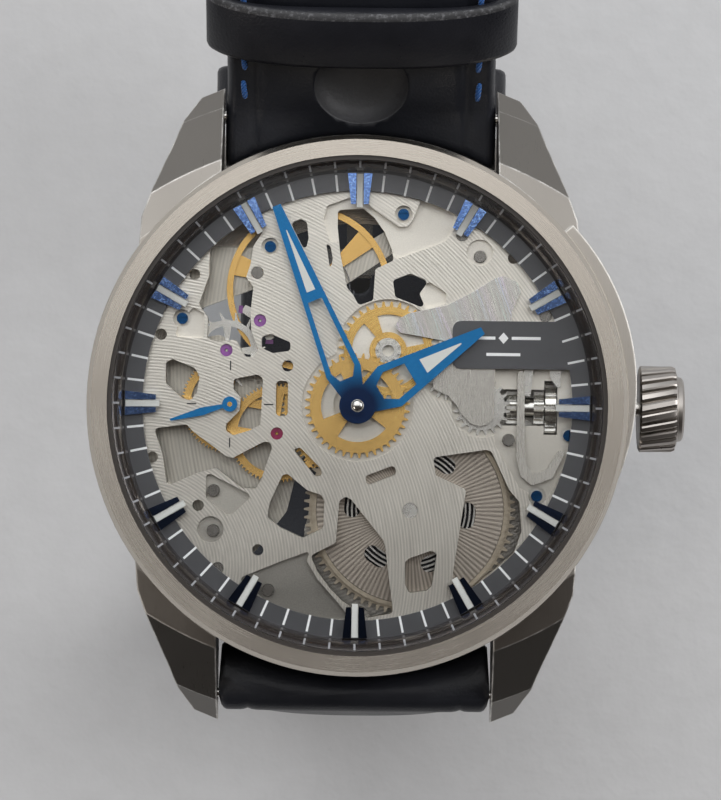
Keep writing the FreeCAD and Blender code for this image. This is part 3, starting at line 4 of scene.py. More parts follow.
import bmesh
import bpy
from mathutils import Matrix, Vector


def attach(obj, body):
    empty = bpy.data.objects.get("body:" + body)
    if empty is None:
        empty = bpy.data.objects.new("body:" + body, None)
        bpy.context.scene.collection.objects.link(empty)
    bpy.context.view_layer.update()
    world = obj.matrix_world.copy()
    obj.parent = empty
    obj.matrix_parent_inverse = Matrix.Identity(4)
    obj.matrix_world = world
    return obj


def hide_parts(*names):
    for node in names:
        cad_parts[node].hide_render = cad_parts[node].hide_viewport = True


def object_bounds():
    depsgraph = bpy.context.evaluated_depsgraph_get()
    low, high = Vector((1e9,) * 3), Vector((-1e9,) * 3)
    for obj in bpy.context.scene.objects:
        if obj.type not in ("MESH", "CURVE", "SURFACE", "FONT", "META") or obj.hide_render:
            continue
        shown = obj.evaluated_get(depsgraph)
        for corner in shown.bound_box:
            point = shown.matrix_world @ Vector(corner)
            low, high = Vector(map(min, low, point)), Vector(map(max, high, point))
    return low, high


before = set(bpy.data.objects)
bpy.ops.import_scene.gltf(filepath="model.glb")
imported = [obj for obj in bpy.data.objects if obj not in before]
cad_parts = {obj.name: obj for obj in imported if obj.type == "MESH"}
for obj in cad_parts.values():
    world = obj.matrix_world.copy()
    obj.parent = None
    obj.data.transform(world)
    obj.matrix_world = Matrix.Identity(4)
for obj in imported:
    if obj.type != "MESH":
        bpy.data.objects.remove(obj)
CAD_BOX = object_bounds()
MM = 0.001

# ---------------------------------------------------------------- places from the CAD, in millimetres

# Angles and headings are in degrees. A strap run is a length with no turn, or a radius with its turn.
BARREL = (4.3, -8.3)
FOURTH = (-10.15, 0.0)
MINUTE_WHEEL = (2.4, 4.4)
MINUTE_HAND_ANGLE = 112.7
HOUR_HAND_ANGLE = 31.6
GRAIN_CENTRE = (-17.0, -13.0)
RING_TOP = 7.5
PLATE_TOP = 6.6
BAR_PLACE = (23.2, 2.8)
STRAP_HALF_WIDTH = 10.7
SHORT_RUNS = [(3.0, 0), (10.4, 0), (11.0, -128), (22.0, -90), (8.0, 0)]
SHORT_HEADING = 38.0
LONG_RUNS = [(3.0, 0), (27.0, 4), (23.3, 0), (17.0, 88), (17.6, 0), (40.0, 20)]
LONG_HEADING = -92.0
HOLE_PLACE = 4.2
KEEPER_PLACE = 9.3
END_RADIUS = 21.78


# ---------------------------------------------------------------- node materials


class Shade:
    """A node material in the making. Places are in millimetres in the part's own frame."""

    def __init__(self, name):
        self.material = bpy.data.materials.new(name)
        self.material.use_nodes = True
        self.tree = self.material.node_tree
        self.surface = self.tree.nodes["Principled BSDF"]
        coordinates = self.node("ShaderNodeTexCoord")
        scaled = self.node("ShaderNodeVectorMath", operation="SCALE")
        self.tree.links.new(coordinates.outputs["Object"], scaled.inputs[0])
        scaled.inputs["Scale"].default_value = 1000.0
        self.place = scaled.outputs["Vector"]

    def node(self, kind, **settings):
        made = self.tree.nodes.new(kind)
        for name, value in settings.items():
            setattr(made, name, value)
        return made

    def put(self, socket, value):
        if isinstance(value, bpy.types.NodeSocket):
            self.tree.links.new(value, socket)
        elif value is not None:
            socket.default_value = value

    def set(self, **values):
        """Values or sockets for the surface shader, with spaces written as underscores."""
        for name, value in values.items():
            self.put(self.surface.inputs[name.replace("_", " ")], value)

    def sum(self, operation, first, second=None):
        """One step of arithmetic."""
        made = self.node("ShaderNodeMath", operation=operation)
        for socket, value in zip(made.inputs, (first, second)):
            self.put(socket, value)
        return made.outputs[0]

    def axes(self, vector=None):
        made = self.node("ShaderNodeSeparateXYZ")
        self.put(made.inputs[0], vector or self.place)
        return made.outputs

    def joined(self, x, y, z=0.0):
        made = self.node("ShaderNodeCombineXYZ")
        for socket, value in zip(made.inputs, (x, y, z)):
            self.put(socket, value)
        return made.outputs[0]

    def mapped(self, scale, turn=0.0):
        """The place turned about Z and stretched, for grain that runs straight."""
        made = self.node("ShaderNodeMapping")
        self.put(made.inputs["Vector"], self.place)
        made.inputs["Rotation"].default_value = (0, 0, math.radians(turn))
        made.inputs["Scale"].default_value = scale
        return made.outputs[0]

    def polar(self, centre=(0.0, 0.0)):
        """Distance and angle about an upright axis."""
        x, y, _ = self.axes()
        across = self.sum("SUBTRACT", x, centre[0])
        up = self.sum("SUBTRACT", y, centre[1])
        square = self.sum("ADD", self.sum("MULTIPLY", across, across), self.sum("MULTIPLY", up, up))
        return self.sum("SQRT", square), self.sum("ARCTAN2", up, across)

    def noise(self, vector, scale=1.0, detail=4.0, rough=0.55):
        made = self.node("ShaderNodeTexNoise")
        self.put(made.inputs["Vector"], vector or self.place)
        made.inputs["Scale"].default_value = scale
        made.inputs["Detail"].default_value = detail
        made.inputs["Roughness"].default_value = rough
        return made.outputs["Fac"]

    def cells(self, scale):
        """Distance from the middle of each cell, as in leather pores."""
        made = self.node("ShaderNodeTexVoronoi", feature="F1")
        self.put(made.inputs["Vector"], self.place)
        made.inputs["Scale"].default_value = scale
        return made.outputs["Distance"]

    def spread(self, factor, low, high, from_low=0.0, from_high=1.0):
        made = self.node("ShaderNodeMapRange", clamp=True)
        self.put(made.inputs["Value"], factor)
        made.inputs["From Min"].default_value = from_low
        made.inputs["From Max"].default_value = from_high
        made.inputs["To Min"].default_value = low
        made.inputs["To Max"].default_value = high
        return made.outputs["Result"]

    def blend(self, factor, first, second):
        made = self.node("ShaderNodeMix", data_type="RGBA")
        self.put(made.inputs["Factor"], factor)
        for index, value in ((6, first), (7, second)):
            self.put(made.inputs[index], full(value))
        return made.outputs[2]

    def bump(self, height, depth, under=None):
        """A bump of a real depth in millimetres."""
        made = self.node("ShaderNodeBump")
        made.inputs["Strength"].default_value = 1.0
        made.inputs["Distance"].default_value = depth * MM
        self.put(made.inputs["Height"], height)
        if under is not None:
            self.put(made.inputs["Normal"], under)
        return made.outputs["Normal"]


def edges(shade, radius):
    """A normal that rounds the edges by a radius in millimetres, and a mask that is 1 on the edges."""
    bevel = shade.node("ShaderNodeBevel", samples=6)
    bevel.inputs["Radius"].default_value = radius * MM
    geometry = shade.node("ShaderNodeNewGeometry")
    dot = shade.node("ShaderNodeVectorMath", operation="DOT_PRODUCT")
    shade.put(dot.inputs[0], bevel.outputs[0])
    shade.put(dot.inputs[1], geometry.outputs["Normal"])
    return bevel.outputs[0], shade.spread(dot.outputs["Value"], 1.0, 0.0, 0.97, 0.999)


def full(value):
    """A colour with its fourth number, or a socket as it is."""
    if isinstance(value, bpy.types.NodeSocket) or len(value) == 4:
        return value
    return (*value, 1.0)


def dark(colour, share):
    return tuple(channel * share for channel in colour)


def straight_steel(name, colour, roughness, turn=0.0, depth=0.003, edge=0.0):
    """Steel brushed along one direction. With an edge radius its edges are worn, and brightened as a painted
    highlight.

    Its facets that face the head or the foot of the dial then get a painted shade that tones them darker.
    """
    shade = Shade(name)
    grain = shade.noise(shade.mapped((20.0, 0.5, 0.8), turn), 1.4, 3.0, 0.6)
    patches = shade.noise(None, 0.12, 2.0)
    tone = shade.blend(grain, dark(colour, 0.86), colour)
    normal = None
    if edge:
        normal, worn = edges(shade, edge)
        # Painted shade: facets facing the foot of the dial are darkened, and those facing its head less so.
        facing = shade.axes(shade.node("ShaderNodeNewGeometry").outputs["Normal"])[1]
        tone = shade.blend(shade.spread(facing, 0.0, 1.0, -0.5, -0.12), dark(colour, 0.26), tone)
        tone = shade.blend(shade.spread(facing, 0.0, 1.0, 0.06, 0.2), tone, dark(colour, 0.45))
        # The edges are lightened by scuff marks and by a painted highlight along the creases between facets.
        marks = shade.spread(shade.noise(None, 0.8, 4.0), 0.35, 1.0, 0.35, 0.6)
        scuffs_and_highlight = shade.sum("MULTIPLY", worn, marks)
        tone = shade.blend(scuffs_and_highlight, tone, (0.9, 0.88, 0.84))
    rough = shade.spread(shade.sum("ADD", grain, patches), roughness - 0.07, roughness + 0.09, 0.4, 1.6)
    if edge:
        rough = shade.sum("ADD", rough, shade.sum("MULTIPLY", scuffs_and_highlight, 0.3))
    shade.set(
        Base_Color=tone,
        Metallic=1.0,
        Roughness=rough,
        Normal=shade.bump(grain, depth, normal),
    )
    return shade.material


def round_steel(name, colour, roughness, centre=(0.0, 0.0), depth=0.0025, lines=18.0):
    """Metal brushed in circles about an upright axis."""
    shade = Shade(name)
    distance, angle = shade.polar(centre)
    z = shade.axes()[2]
    along = shade.joined(
        shade.sum("MULTIPLY", distance, lines),
        shade.sum("MULTIPLY", angle, 4.0),
        shade.sum("MULTIPLY", z, 6.0))
    grain = shade.noise(along, 1.3, 3.0, 0.65)
    patches = shade.noise(None, 0.1, 2.0)
    shade.set(
        Base_Color=shade.blend(grain, dark(colour, 0.84), colour),
        Metallic=1.0,
        Roughness=shade.spread(
            shade.sum("ADD", grain, patches), roughness - 0.07, roughness + 0.08, 0.4, 1.6),
        Normal=shade.bump(grain, depth),
    )
    return shade.material


def sunray(name, colour, roughness, centre, rays):
    """Metal with a fan of fine lines from a centre."""
    shade = Shade(name)
    distance, angle = shade.polar(centre)
    wave = shade.sum("SINE", shade.sum("MULTIPLY", angle, rays))
    wander = shade.noise(
        shade.joined(shade.sum("MULTIPLY", angle, 60.0), shade.sum("MULTIPLY", distance, 0.15)), 1.0)
    height = shade.sum("ADD", shade.sum("MULTIPLY", wave, 0.5), wander)
    tangent = shade.node("ShaderNodeTangent", direction_type="RADIAL", axis="Z")
    shade.set(
        Base_Color=shade.blend(
            shade.spread(height, 0.0, 1.0, 0.05, 0.95), dark(colour, 0.55), colour),
        Metallic=1.0,
        Roughness=shade.spread(wander, roughness - 0.05, roughness + 0.08),
        Anisotropic=0.4,
        Normal=shade.bump(height, 0.0035),
    )
    shade.put(shade.surface.inputs["Tangent"], tangent.outputs[0])
    return shade.material


def plate_finish_and_painted_shade(name, colour, centre=GRAIN_CENTRE, pitch=0.25, step_level=6.25):
    """Nickel with fine machined lines on top and a frosted grain on lower steps, with a painted shade that
    darkens it towards the foot.
    """
    shade = Shade(name)
    distance, angle = shade.polar(centre)
    z = shade.axes()[2]
    wobble = shade.noise(None, 0.5, 2.0)
    phase = shade.sum("ADD", shade.sum("MULTIPLY", distance, math.tau / pitch), wobble)
    wave = shade.sum("SINE", phase)
    along = shade.joined(
        shade.sum("MULTIPLY", distance, 9.0), shade.sum("MULTIPLY", angle, 6.0), 0.0)
    grain = shade.noise(along, 1.1, 4.0)
    lines = shade.sum("ADD", shade.sum("MULTIPLY", wave, 0.22), grain)
    frost = shade.noise(None, 9.0, 3.0, 0.7)
    on_top = shade.spread(z, 0.0, 1.0, step_level, step_level + 0.1)
    # Painted shade: the top and the lower steps alike are darkened towards the foot of the dial.
    upper = shade.spread(shade.axes()[1], 0.0, 1.0, -15.0, 5.0)
    top_colour = shade.blend(shade.spread(lines, 0.0, 1.0, 0.1, 0.9), dark(colour, 0.68), colour)
    low_colour = shade.blend(frost, dark(colour, 0.8), dark(colour, 1.1))
    low_colour = shade.blend(upper, shade.blend(frost, dark(colour, 0.16), dark(colour, 0.34)), low_colour)
    top_colour = shade.blend(upper, shade.blend(lines, dark(colour, 0.45), dark(colour, 0.8)), top_colour)
    patches = shade.noise(None, 0.16, 2.0)
    shade.set(
        Base_Color=shade.blend(on_top, low_colour, top_colour),
        Metallic=1.0,
        Roughness=shade.sum(
            "ADD", shade.spread(patches, 0.24, 0.4), shade.spread(on_top, 0.12, 0.0)),
        Normal=shade.bump(
            shade.sum("ADD", shade.sum("MULTIPLY", on_top, lines), shade.sum("MULTIPLY", frost, 0.5)),
            0.006),
    )
    return shade.material


def polished(name, colour, roughness):
    """Bright metal with faint handling marks."""
    shade = Shade(name)
    smudge = shade.noise(None, 0.45, 3.0)
    marks = shade.noise(shade.mapped((14.0, 0.8, 3.0), 35.0), 1.0, 3.0)
    shade.set(
        Base_Color=shade.blend(smudge, dark(colour, 0.86), colour),
        Metallic=1.0,
        Roughness=shade.spread(smudge, roughness * 0.7, roughness * 1.5),
        Normal=shade.bump(marks, 0.0007),
    )
    return shade.material


def matt(name, colour, roughness=0.55, metallic=0.0, scale=5.0, depth=0.006, contrast=0.85):
    """A painted, printed or frosted surface with a fine tooth."""
    shade = Shade(name)
    tooth = shade.noise(None, scale, 4.0, 0.65)
    broad = shade.noise(None, 0.14, 2.0)
    shade.set(
        Base_Color=shade.blend(
            shade.sum("MULTIPLY", shade.sum("ADD", tooth, broad), 0.5), dark(colour, contrast), colour),
        Metallic=metallic,
        Roughness=shade.spread(tooth, roughness - 0.07, roughness + 0.07),
        Normal=shade.bump(tooth, depth),
    )
    return shade.material


def glitter(name, colour, flake_glint):
    """Deep blue lacquered metal, darkened below the centre by a painted shade; above it the fine flakes are
    lighter blue, a painted glint of a light from above.
    """
    shade = Shade(name)
    # Painted shade darkens the markers below the centre; above it the lighter flake cells are painted
    # glints.
    upper = shade.spread(shade.axes()[1], 0.0, 1.0, -9.0, 2.0)
    flakes = shade.node("ShaderNodeTexVoronoi")
    shade.put(flakes.inputs["Vector"], shade.place)
    flakes.inputs["Scale"].default_value = 11.0
    tone = shade.axes(flakes.outputs["Color"])[0]
    shade.set(
        Base_Color=shade.blend(
            upper, dark(colour, 0.16), shade.blend(shade.spread(tone, 0.0, 1.0, 0.55, 1.0), colour, flake_glint)),
        Metallic=1.0,
        Roughness=shade.spread(tone, 0.05, 0.13),
        Normal=shade.bump(shade.noise(None, 5.0, 2.0), 0.003),
    )
    return shade.material


def blued(name):
    """Heat-blued steel, satin, with a painted shade that darkens it towards the hub of the hands."""
    shade = Shade(name)
    distance, _ = shade.polar()
    grain = shade.noise(shade.mapped((3.0, 3.0, 3.0)), 2.0, 3.0)
    # Painted shade: the blue darkens towards the hub.
    painted_shade_near_hub = shade.spread(distance, 1.0, 0.0, 1.3, 3.4)
    blue = shade.blend(grain, (0.012, 0.14, 0.36), (0.02, 0.2, 0.46))
    shade.set(
        Base_Color=shade.blend(painted_shade_near_hub, blue, (0.004, 0.016, 0.06)),
        Metallic=0.85,
        Roughness=shade.spread(grain, 0.3, 0.44),
        Normal=shade.bump(grain, 0.004),
    )
    return shade.material


def clear_glass(name, tint):
    """Thin sapphire: it lets light straight through and adds a faint reflection."""
    shade = Shade(name)
    output = shade.tree.nodes["Material Output"]
    through = shade.node("ShaderNodeBsdfTransparent")
    through.inputs["Color"].default_value = full(tint)
    shine = shade.node("ShaderNodeBsdfGlossy")
    shine.inputs["Roughness"].default_value = 0.03
    facing = shade.node("ShaderNodeFresnel")
    facing.inputs["IOR"].default_value = 1.35
    dust = shade.noise(None, 2.0, 2.0)
    mix = shade.node("ShaderNodeMixShader")
    # Only the outside of a face shines: leaving light isn't bent here, so it mustn't be turned back.
    outside = shade.sum("SUBTRACT", 1.0, shade.node("ShaderNodeNewGeometry").outputs["Backfacing"])
    glint = shade.sum("MULTIPLY", facing.outputs[0], shade.spread(dust, 0.75, 1.0))
    shade.put(mix.inputs["Fac"], shade.sum("MULTIPLY", glint, outside))
    shade.tree.links.new(through.outputs[0], mix.inputs[1])
    shade.tree.links.new(shine.outputs[0], mix.inputs[2])
    shade.tree.links.new(mix.outputs[0], output.inputs["Surface"])
    return shade.material


def jewel_stone(name):
    """Synthetic ruby: dark red low on the plate, more violet by the escapement."""
    shade = Shade(name)
    y = shade.axes()[1]
    upper = shade.spread(y, 0.0, 1.0, 1.0, 2.0)
    veil = shade.noise(None, 3.0, 2.0)
    shade.set(
        Base_Color=shade.blend(
            upper,
            shade.blend(veil, (0.16, 0.008, 0.04), (0.3, 0.02, 0.09)),
            shade.blend(veil, (0.2, 0.05, 0.27), (0.36, 0.13, 0.42))),
        Roughness=shade.spread(veil, 0.06, 0.14),
        Coat_Weight=0.8,
        IOR=1.76,
    )
    return shade.material


def leather(name, colour=(0.011, 0.012, 0.016), gloss=0.36, crease=0.0, wear=0.0):
    """Smooth calf leather: fine pores, soft wrinkles across a bend, and dull worn ridges, lightened partly
    as a painted highlight.
    """
    shade = Shade(name)
    pores = shade.cells(4.2)
    fine = shade.noise(None, 6.0, 4.0, 0.6)
    broad = shade.noise(None, 0.25, 3.0)
    folds = shade.noise(shade.mapped((0.22, 2.6, 2.2)), 1.0, 3.0, 0.6)
    height = shade.sum(
        "ADD",
        shade.sum("ADD", shade.sum("MULTIPLY", pores, 0.6), shade.sum("MULTIPLY", fine, 0.4)),
        shade.sum("MULTIPLY", folds, 0.25 + crease * 2.0))
    tone = shade.blend(broad, dark(colour, 0.75), dark(colour, 1.5))
    # Lighter dusty patches: wear, and on the keeper's upper edge also a painted highlight.
    if wear:
        dust = shade.spread(shade.noise(None, 2.5, 5.0, 0.7), 0.0, wear, 0.5, 0.72)
        tone = shade.blend(dust, tone, (0.16, 0.16, 0.17))
    shade.set(
        Base_Color=tone,
        Roughness=shade.spread(
            shade.sum("ADD", fine, broad), gloss - 0.08, gloss + 0.14, 0.5, 1.4),
        Specular_IOR_Level=0.32,
        Coat_Weight=0.05,
        Coat_Roughness=0.3,
        Normal=shade.bump(height, 0.022),
    )
    return shade.material


def sheen_steel(name, colour, turn):
    """Strongly cross-brushed steel whose lines break the light into faint colours."""
    shade = Shade(name)
    turned = shade.mapped((1.0, 1.0, 1.0), turn)
    along = shade.axes(turned)[0]
    stretched = shade.node("ShaderNodeVectorMath", operation="MULTIPLY")
    shade.put(stretched.inputs[0], turned)
    stretched.inputs[1].default_value = (7.0, 0.25, 0.25)
    lines = shade.noise(stretched.outputs[0], 1.0, 5.0, 0.7)
    tint = shade.node("ShaderNodeCombineColor", mode="HSV")
    shade.put(tint.inputs[0], shade.sum("FRACT", shade.sum("MULTIPLY", along, 0.55)))
    shade.put(tint.inputs[1], shade.spread(lines, 0.0, 0.16, 0.45, 0.7))
    tint.inputs[2].default_value = 0.74
    shade.set(
        Base_Color=shade.blend(
            shade.spread(lines, 0.0, 1.0, 0.3, 0.7), dark(colour, 0.84), tint.outputs[0]),
        Metallic=1.0,
        Roughness=shade.spread(lines, 0.2, 0.32),
        Normal=shade.bump(lines, 0.0006),
    )
    return shade.material


def drum_metal(name):
    """Barrel drum: pale steel teeth round a dark inside."""
    shade = Shade(name)
    distance, _ = shade.polar(BARREL)
    inside = shade.spread(distance, 1.0, 0.0, 7.45, 7.55)
    grain = shade.noise(None, 3.0, 4.0)
    bright = shade.blend(grain, (0.34, 0.29, 0.22), (0.52, 0.45, 0.36))
    shade.set(
        Base_Color=shade.blend(inside, bright, (0.02, 0.02, 0.022)),
        Metallic=1.0,
        Roughness=shade.spread(grain, 0.26, 0.4),
        Normal=shade.bump(grain, 0.002),
    )
    return shade.material


def wheel_and_pinion(name, centre, radius):
    """A gilt wheel with its steel pinion in one node."""
    shade = Shade(name)
    distance, angle = shade.polar(centre)
    steel = shade.spread(distance, 1.0, 0.0, radius, radius + 0.06)
    grain = shade.noise(shade.joined(shade.sum("MULTIPLY", distance, 6.0), angle), 1.2, 4.0)
    gilt = shade.blend(grain, (0.7, 0.43, 0.13), (0.93, 0.62, 0.22))
    shade.set(
        Base_Color=shade.blend(steel, gilt, (0.7, 0.68, 0.64)),
        Metallic=1.0,
        Roughness=shade.spread(grain, 0.2, 0.34),
        Normal=shade.bump(grain, 0.0005),
    )
    return shade.material


def thread(name, colour):
    """Twisted sewing thread."""
    shade = Shade(name)
    twist = shade.sum("SINE", shade.sum("MULTIPLY", shade.axes(shade.mapped((9.0, 9.0, 9.0), 40.0))[0], 4.0))
    fuzz = shade.noise(None, 14.0, 2.0)
    shade.set(
        Base_Color=shade.blend(shade.spread(twist, 0.0, 1.0, -1.0, 1.0), dark(colour, 0.55), colour),
        Roughness=shade.spread(fuzz, 0.5, 0.75),
        Sheen_Weight=0.3,
        Normal=shade.bump(shade.sum("ADD", twist, fuzz), 0.03),
    )
    return shade.material


STEEL = (0.5, 0.465, 0.42)
GOLD = (0.93, 0.6, 0.21)

case_steel = straight_steel("case_steel", STEEL, 0.3, edge=0.2)
bezel_steel = round_steel("bezel_steel", (0.62, 0.57, 0.5), 0.25)
back_steel = round_steel("back_steel", STEEL, 0.26)
bright_steel = polished("bright_steel", (0.66, 0.64, 0.61), 0.19)
crown_steel = polished("crown_steel", (0.44, 0.41, 0.38), 0.3)
grained_steel = straight_steel("grained_steel", (0.66, 0.63, 0.58), 0.26, 24.0, 0.0015)
movement_steel = polished("movement_steel", (0.72, 0.7, 0.66), 0.24)
spring_metal = polished("spring_metal", (0.2, 0.2, 0.22), 0.2)
coil_steel = polished("coil_steel", (0.62, 0.6, 0.57), 0.25)
nickel_plate = plate_finish_and_painted_shade("nickel_plate", (0.88, 0.83, 0.75))
nickel_bridge = plate_finish_and_painted_shade("nickel_bridge", (0.66, 0.62, 0.55), (30.0, 4.0), 0.3, 2.0)
deep_bridge = plate_finish_and_painted_shade("deep_bridge", (0.4, 0.375, 0.34), (-17.0, 30.0), 0.3, 2.0)
cover_metal = sunray("cover_metal", (0.48, 0.42, 0.36), 0.32, BARREL, 120.0)
gold_wheel = round_steel("gold_wheel", GOLD, 0.24, (0.0, 0.0), 0.0006, 8.0)
gold_train = polished("gold_train", (0.9, 0.57, 0.2), 0.22)
minute_gold = wheel_and_pinion("minute_gold", MINUTE_WHEEL, 1.0)
barrel_metal = drum_metal("barrel_metal")
setter_steel = sheen_steel("setter_steel", (0.66, 0.62, 0.56), -20.0)
anthracite = matt("anthracite", (0.1, 0.1, 0.107), 0.32, 0.5, 6.0, 0.001)
flange_gloss = matt("flange_gloss", (0.05, 0.042, 0.04), 0.22, 0.5, 6.0, 0.0005)
gasket_nylon = matt("gasket_nylon", (0.03, 0.024, 0.02), 0.4)
marker_blue = glitter("marker_blue", (0.1, 0.19, 0.46), (0.3, 0.46, 0.8))
hand_blue = blued("hand_blue")
screw_blue = polished("screw_blue", (0.012, 0.08, 0.22), 0.2)
pin_steel = polished("pin_steel", (0.3, 0.285, 0.265), 0.2)
ruby = jewel_stone("ruby_stone")
sapphire = clear_glass("sapphire_top", (0.985, 0.99, 0.99))
back_sapphire = clear_glass("sapphire_back", (0.93, 0.94, 0.95))
lume = matt("lume", (0.68, 0.68, 0.65), 0.6, 0.0, 7.0, 0.008)
white_print = matt("white_print", (0.93, 0.93, 0.93), 0.5)
# Grey painted reflections of the dial's ticks, laid on the flange.
grey_tick_reflection = matt("grey_tick_reflection", (0.36, 0.36, 0.38), 0.5)
black_print = matt("black_print", (0.02, 0.02, 0.02), 0.5)
strap_leather = leather("strap_leather", crease=0.02)
fold_leather = leather("fold_leather", crease=0.5)
keeper_leather = leather("keeper_leather", (0.012, 0.0125, 0.016), 0.3, 0.02)
worn_leather_and_highlight = leather("worn_leather_and_highlight", (0.03, 0.03, 0.032), 0.5, 0.05, 1.0)
lining_leather = matt("lining_leather", (0.02, 0.02, 0.022), 0.7, 0.0, 3.0, 0.05, 0.5)
dish_leather = matt("dish_leather", (0.075, 0.075, 0.08), 0.55, 0.0, 2.5, 0.06, 0.4)
blue_thread = thread("blue_thread", (0.004, 0.12, 0.45))

CAD_LOOKS = {
    case_steel: ["case_middle"],
    bezel_steel: ["bezel"],
    back_steel: ["case_back_ring", "movement_ring"],
    sapphire: ["crystal"],
    back_sapphire: ["case_back_glass"],
    gasket_nylon: ["crystal_gasket"],
    anthracite: ["chapter_ring"],
    marker_blue: ["hour_markers"],
    hand_blue: ["minute_hand", "hour_hand", "seconds_hand"],
    screw_blue: ["dial_side_screws"],
    nickel_plate: ["main_plate"],
    nickel_bridge: ["train_bridge", "balance_cock", "pallet_bridge"],
    deep_bridge: ["barrel_bridge"],
    grained_steel: ["setting_wheel_bridge", "setting_lever_spring"],
    cover_metal: ["barrel_cover"],
    gold_wheel: ["hour_wheel", "center_wheel"],
    gold_train: ["third_wheel", "fourth_wheel", "balance_wheel"],
    minute_gold: ["minute_wheel"],
    barrel_metal: ["barrel_drum"],
    setter_steel: ["minute_train_bridge"],
    ruby: ["jewels", "pallet_stones"],
    spring_metal: ["hairspring"],
    pin_steel: ["steady_pins"],
    bright_steel: ["buckle_frame", "buckle_tongue", "buckle_bar", "spring_bars"],
    movement_steel: [
        "bridge_screws", "winding_stem", "winding_pinion", "sliding_clutch",
        "clutch_yoke", "setting_lever", "click", "pallet_fork", "escape_wheel",
        "balance_staff", "cannon_pinion", "setting_wheel_small", "setting_wheel_large",
        "crown_wheel", "ratchet_wheel", "barrel_arbor",
    ],
}
for look, node_names in CAD_LOOKS.items():
    for node_name in node_names:
        for piece_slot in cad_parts[node_name].material_slots:
            piece_slot.material = look


# ---------------------------------------------------------------- meshes


def new_piece(name, corners, faces, look, body, cad_slot, sharp=40.0):
    """A mesh piece from corners in millimetres, riding on a body."""
    mesh = bpy.data.meshes.new(name)
    mesh.from_pydata([Vector(corner) * MM for corner in corners], [], faces)
    mesh.validate()
    work = bmesh.new()
    work.from_mesh(mesh)
    bmesh.ops.remove_doubles(work, verts=work.verts, dist=0.0005 * MM)
    bmesh.ops.recalc_face_normals(work, faces=work.faces)
    work.to_mesh(mesh)
    work.free()
    mesh.shade_smooth()
    mesh.set_sharp_from_angle(angle=math.radians(sharp))
    for one_look in look if isinstance(look, list) else [look]:
        mesh.materials.append(one_look)
    piece = bpy.data.objects.new(name, mesh)
    bpy.context.collection.objects.link(piece)
    if body:
        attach(piece, body)
    return piece


def skin(rings, closed=False):
    """Corners and faces through rings of equal length, with capped ends unless closed."""
    count = len(rings[0])
    corners = [corner for ring in rings for corner in ring]
    faces = []
    last = len(rings) if closed else len(rings) - 1
    for row in range(last):
        here = row * count
        there = (row + 1) % len(rings) * count
        for index in range(count):
            after = (index + 1) % count
            faces.append((here + index, here + after, there + after, there + index))
    if not closed:
        faces.append(tuple(range(count)))
        faces.append(tuple(range(len(corners) - 1, len(corners) - 1 - count, -1)))
    return corners, faces


def block(outline, low, high):
    """Corners and faces of an upright prism on an outline."""
    rings = [[(x, y, level) for x, y in outline] for level in (low, high)]
    return skin(rings)


def together(parts):
    """Several corner and face lists as one."""
    corners = []
    faces = []
    for part_corners, part_faces in parts:
        shift = len(corners)
        corners.extend(part_corners)
        faces.extend(tuple(index + shift for index in face) for face in part_faces)
    return corners, faces


def turned_outline(outline, degrees, centre=(0.0, 0.0)):
    """An outline turned about the origin and then moved."""
    cos = math.cos(math.radians(degrees))
    sin = math.sin(math.radians(degrees))
    return [(x * cos - y * sin + centre[0], x * sin + y * cos + centre[1]) for x, y in outline]


def round_steps(count):
    """Cosine and sine of even steps round a circle."""
    return [(math.cos(step * math.tau / count), math.sin(step * math.tau / count)) for step in range(count)]


def baked(piece):
    """Work the piece's modifiers into its mesh."""
    graph = bpy.context.evaluated_depsgraph_get()
    mesh = bpy.data.meshes.new_from_object(piece.evaluated_get(graph), depsgraph=graph)
    piece.modifiers.clear()
    piece.data = mesh


def cut_away(piece, cutter):
    """Take one piece's room out of another and delete the cutter."""
    modifier = piece.modifiers.new("cut", "BOOLEAN")
    modifier.object = cutter
    modifier.operation = "DIFFERENCE"
    modifier.solver = "EXACT"
    modifier.material_mode = "TRANSFER"
    baked(piece)
    bpy.data.objects.remove(cutter)


# ---------------------------------------------------------------- dial marks

PRINT_HIGH = 0.03
PRINT_SUNK = 0.01
MINUTE_STEP = 6


def bar(start, end, half_width, turn, level, centre=(0.0, 0.0)):
    """A printed bar along a radius, turned about a centre."""
    outline = [(start, -half_width), (end, -half_width), (end, half_width), (start, half_width)]
    return block(turned_outline(outline, turn, centre), level - PRINT_SUNK, level + PRINT_HIGH)


ticks = [bar(17.05, 18.4, 0.09, MINUTE_STEP * minute, RING_TOP) for minute in range(60) if minute % 5]
new_piece("minute_ticks", *together(ticks), white_print, "root", "dark_ring")

# Painted reflections of the dial's ticks on the flare of the flange, each a thin slip from its inner end to
# its outer end.
FLARE_ENDS = [(18.87, 9.53), (19.33, 10.02)]
ticks = []
for minute in range(60):
    rings = []
    for radius, level in FLARE_ENDS:
        lift = [(radius, level), (radius - 0.04, level + 0.02)]
        ring = []
        for across in (-0.08, 0.08):
            for r, z in lift if across < 0 else lift[::-1]:
                x, y = turned_outline([(r, across)], MINUTE_STEP * minute)[0]
                ring.append((x, y, z))
        rings.append(ring)
    ticks.append(skin(rings))
FLANGE_PROFILE = [
    (18.55, RING_TOP), (18.9, RING_TOP), (18.9, 9.34), (19.63, 9.34), (19.63, 10.19), (19.5, 10.19),
    (18.8, 9.44),
]
rings = [[(radius * cos, radius * sin, level) for radius, level in FLANGE_PROFILE]
         for cos, sin in round_steps(240)]
flange_piece = new_piece(
    "flange_smooth", *skin(rings, closed=True), flange_gloss, "root", "dark_ring", 50.0)
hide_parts("flange_ring")
new_piece("flange_tick_reflections", *together(ticks), grey_tick_reflection, "root", "dark_ring")

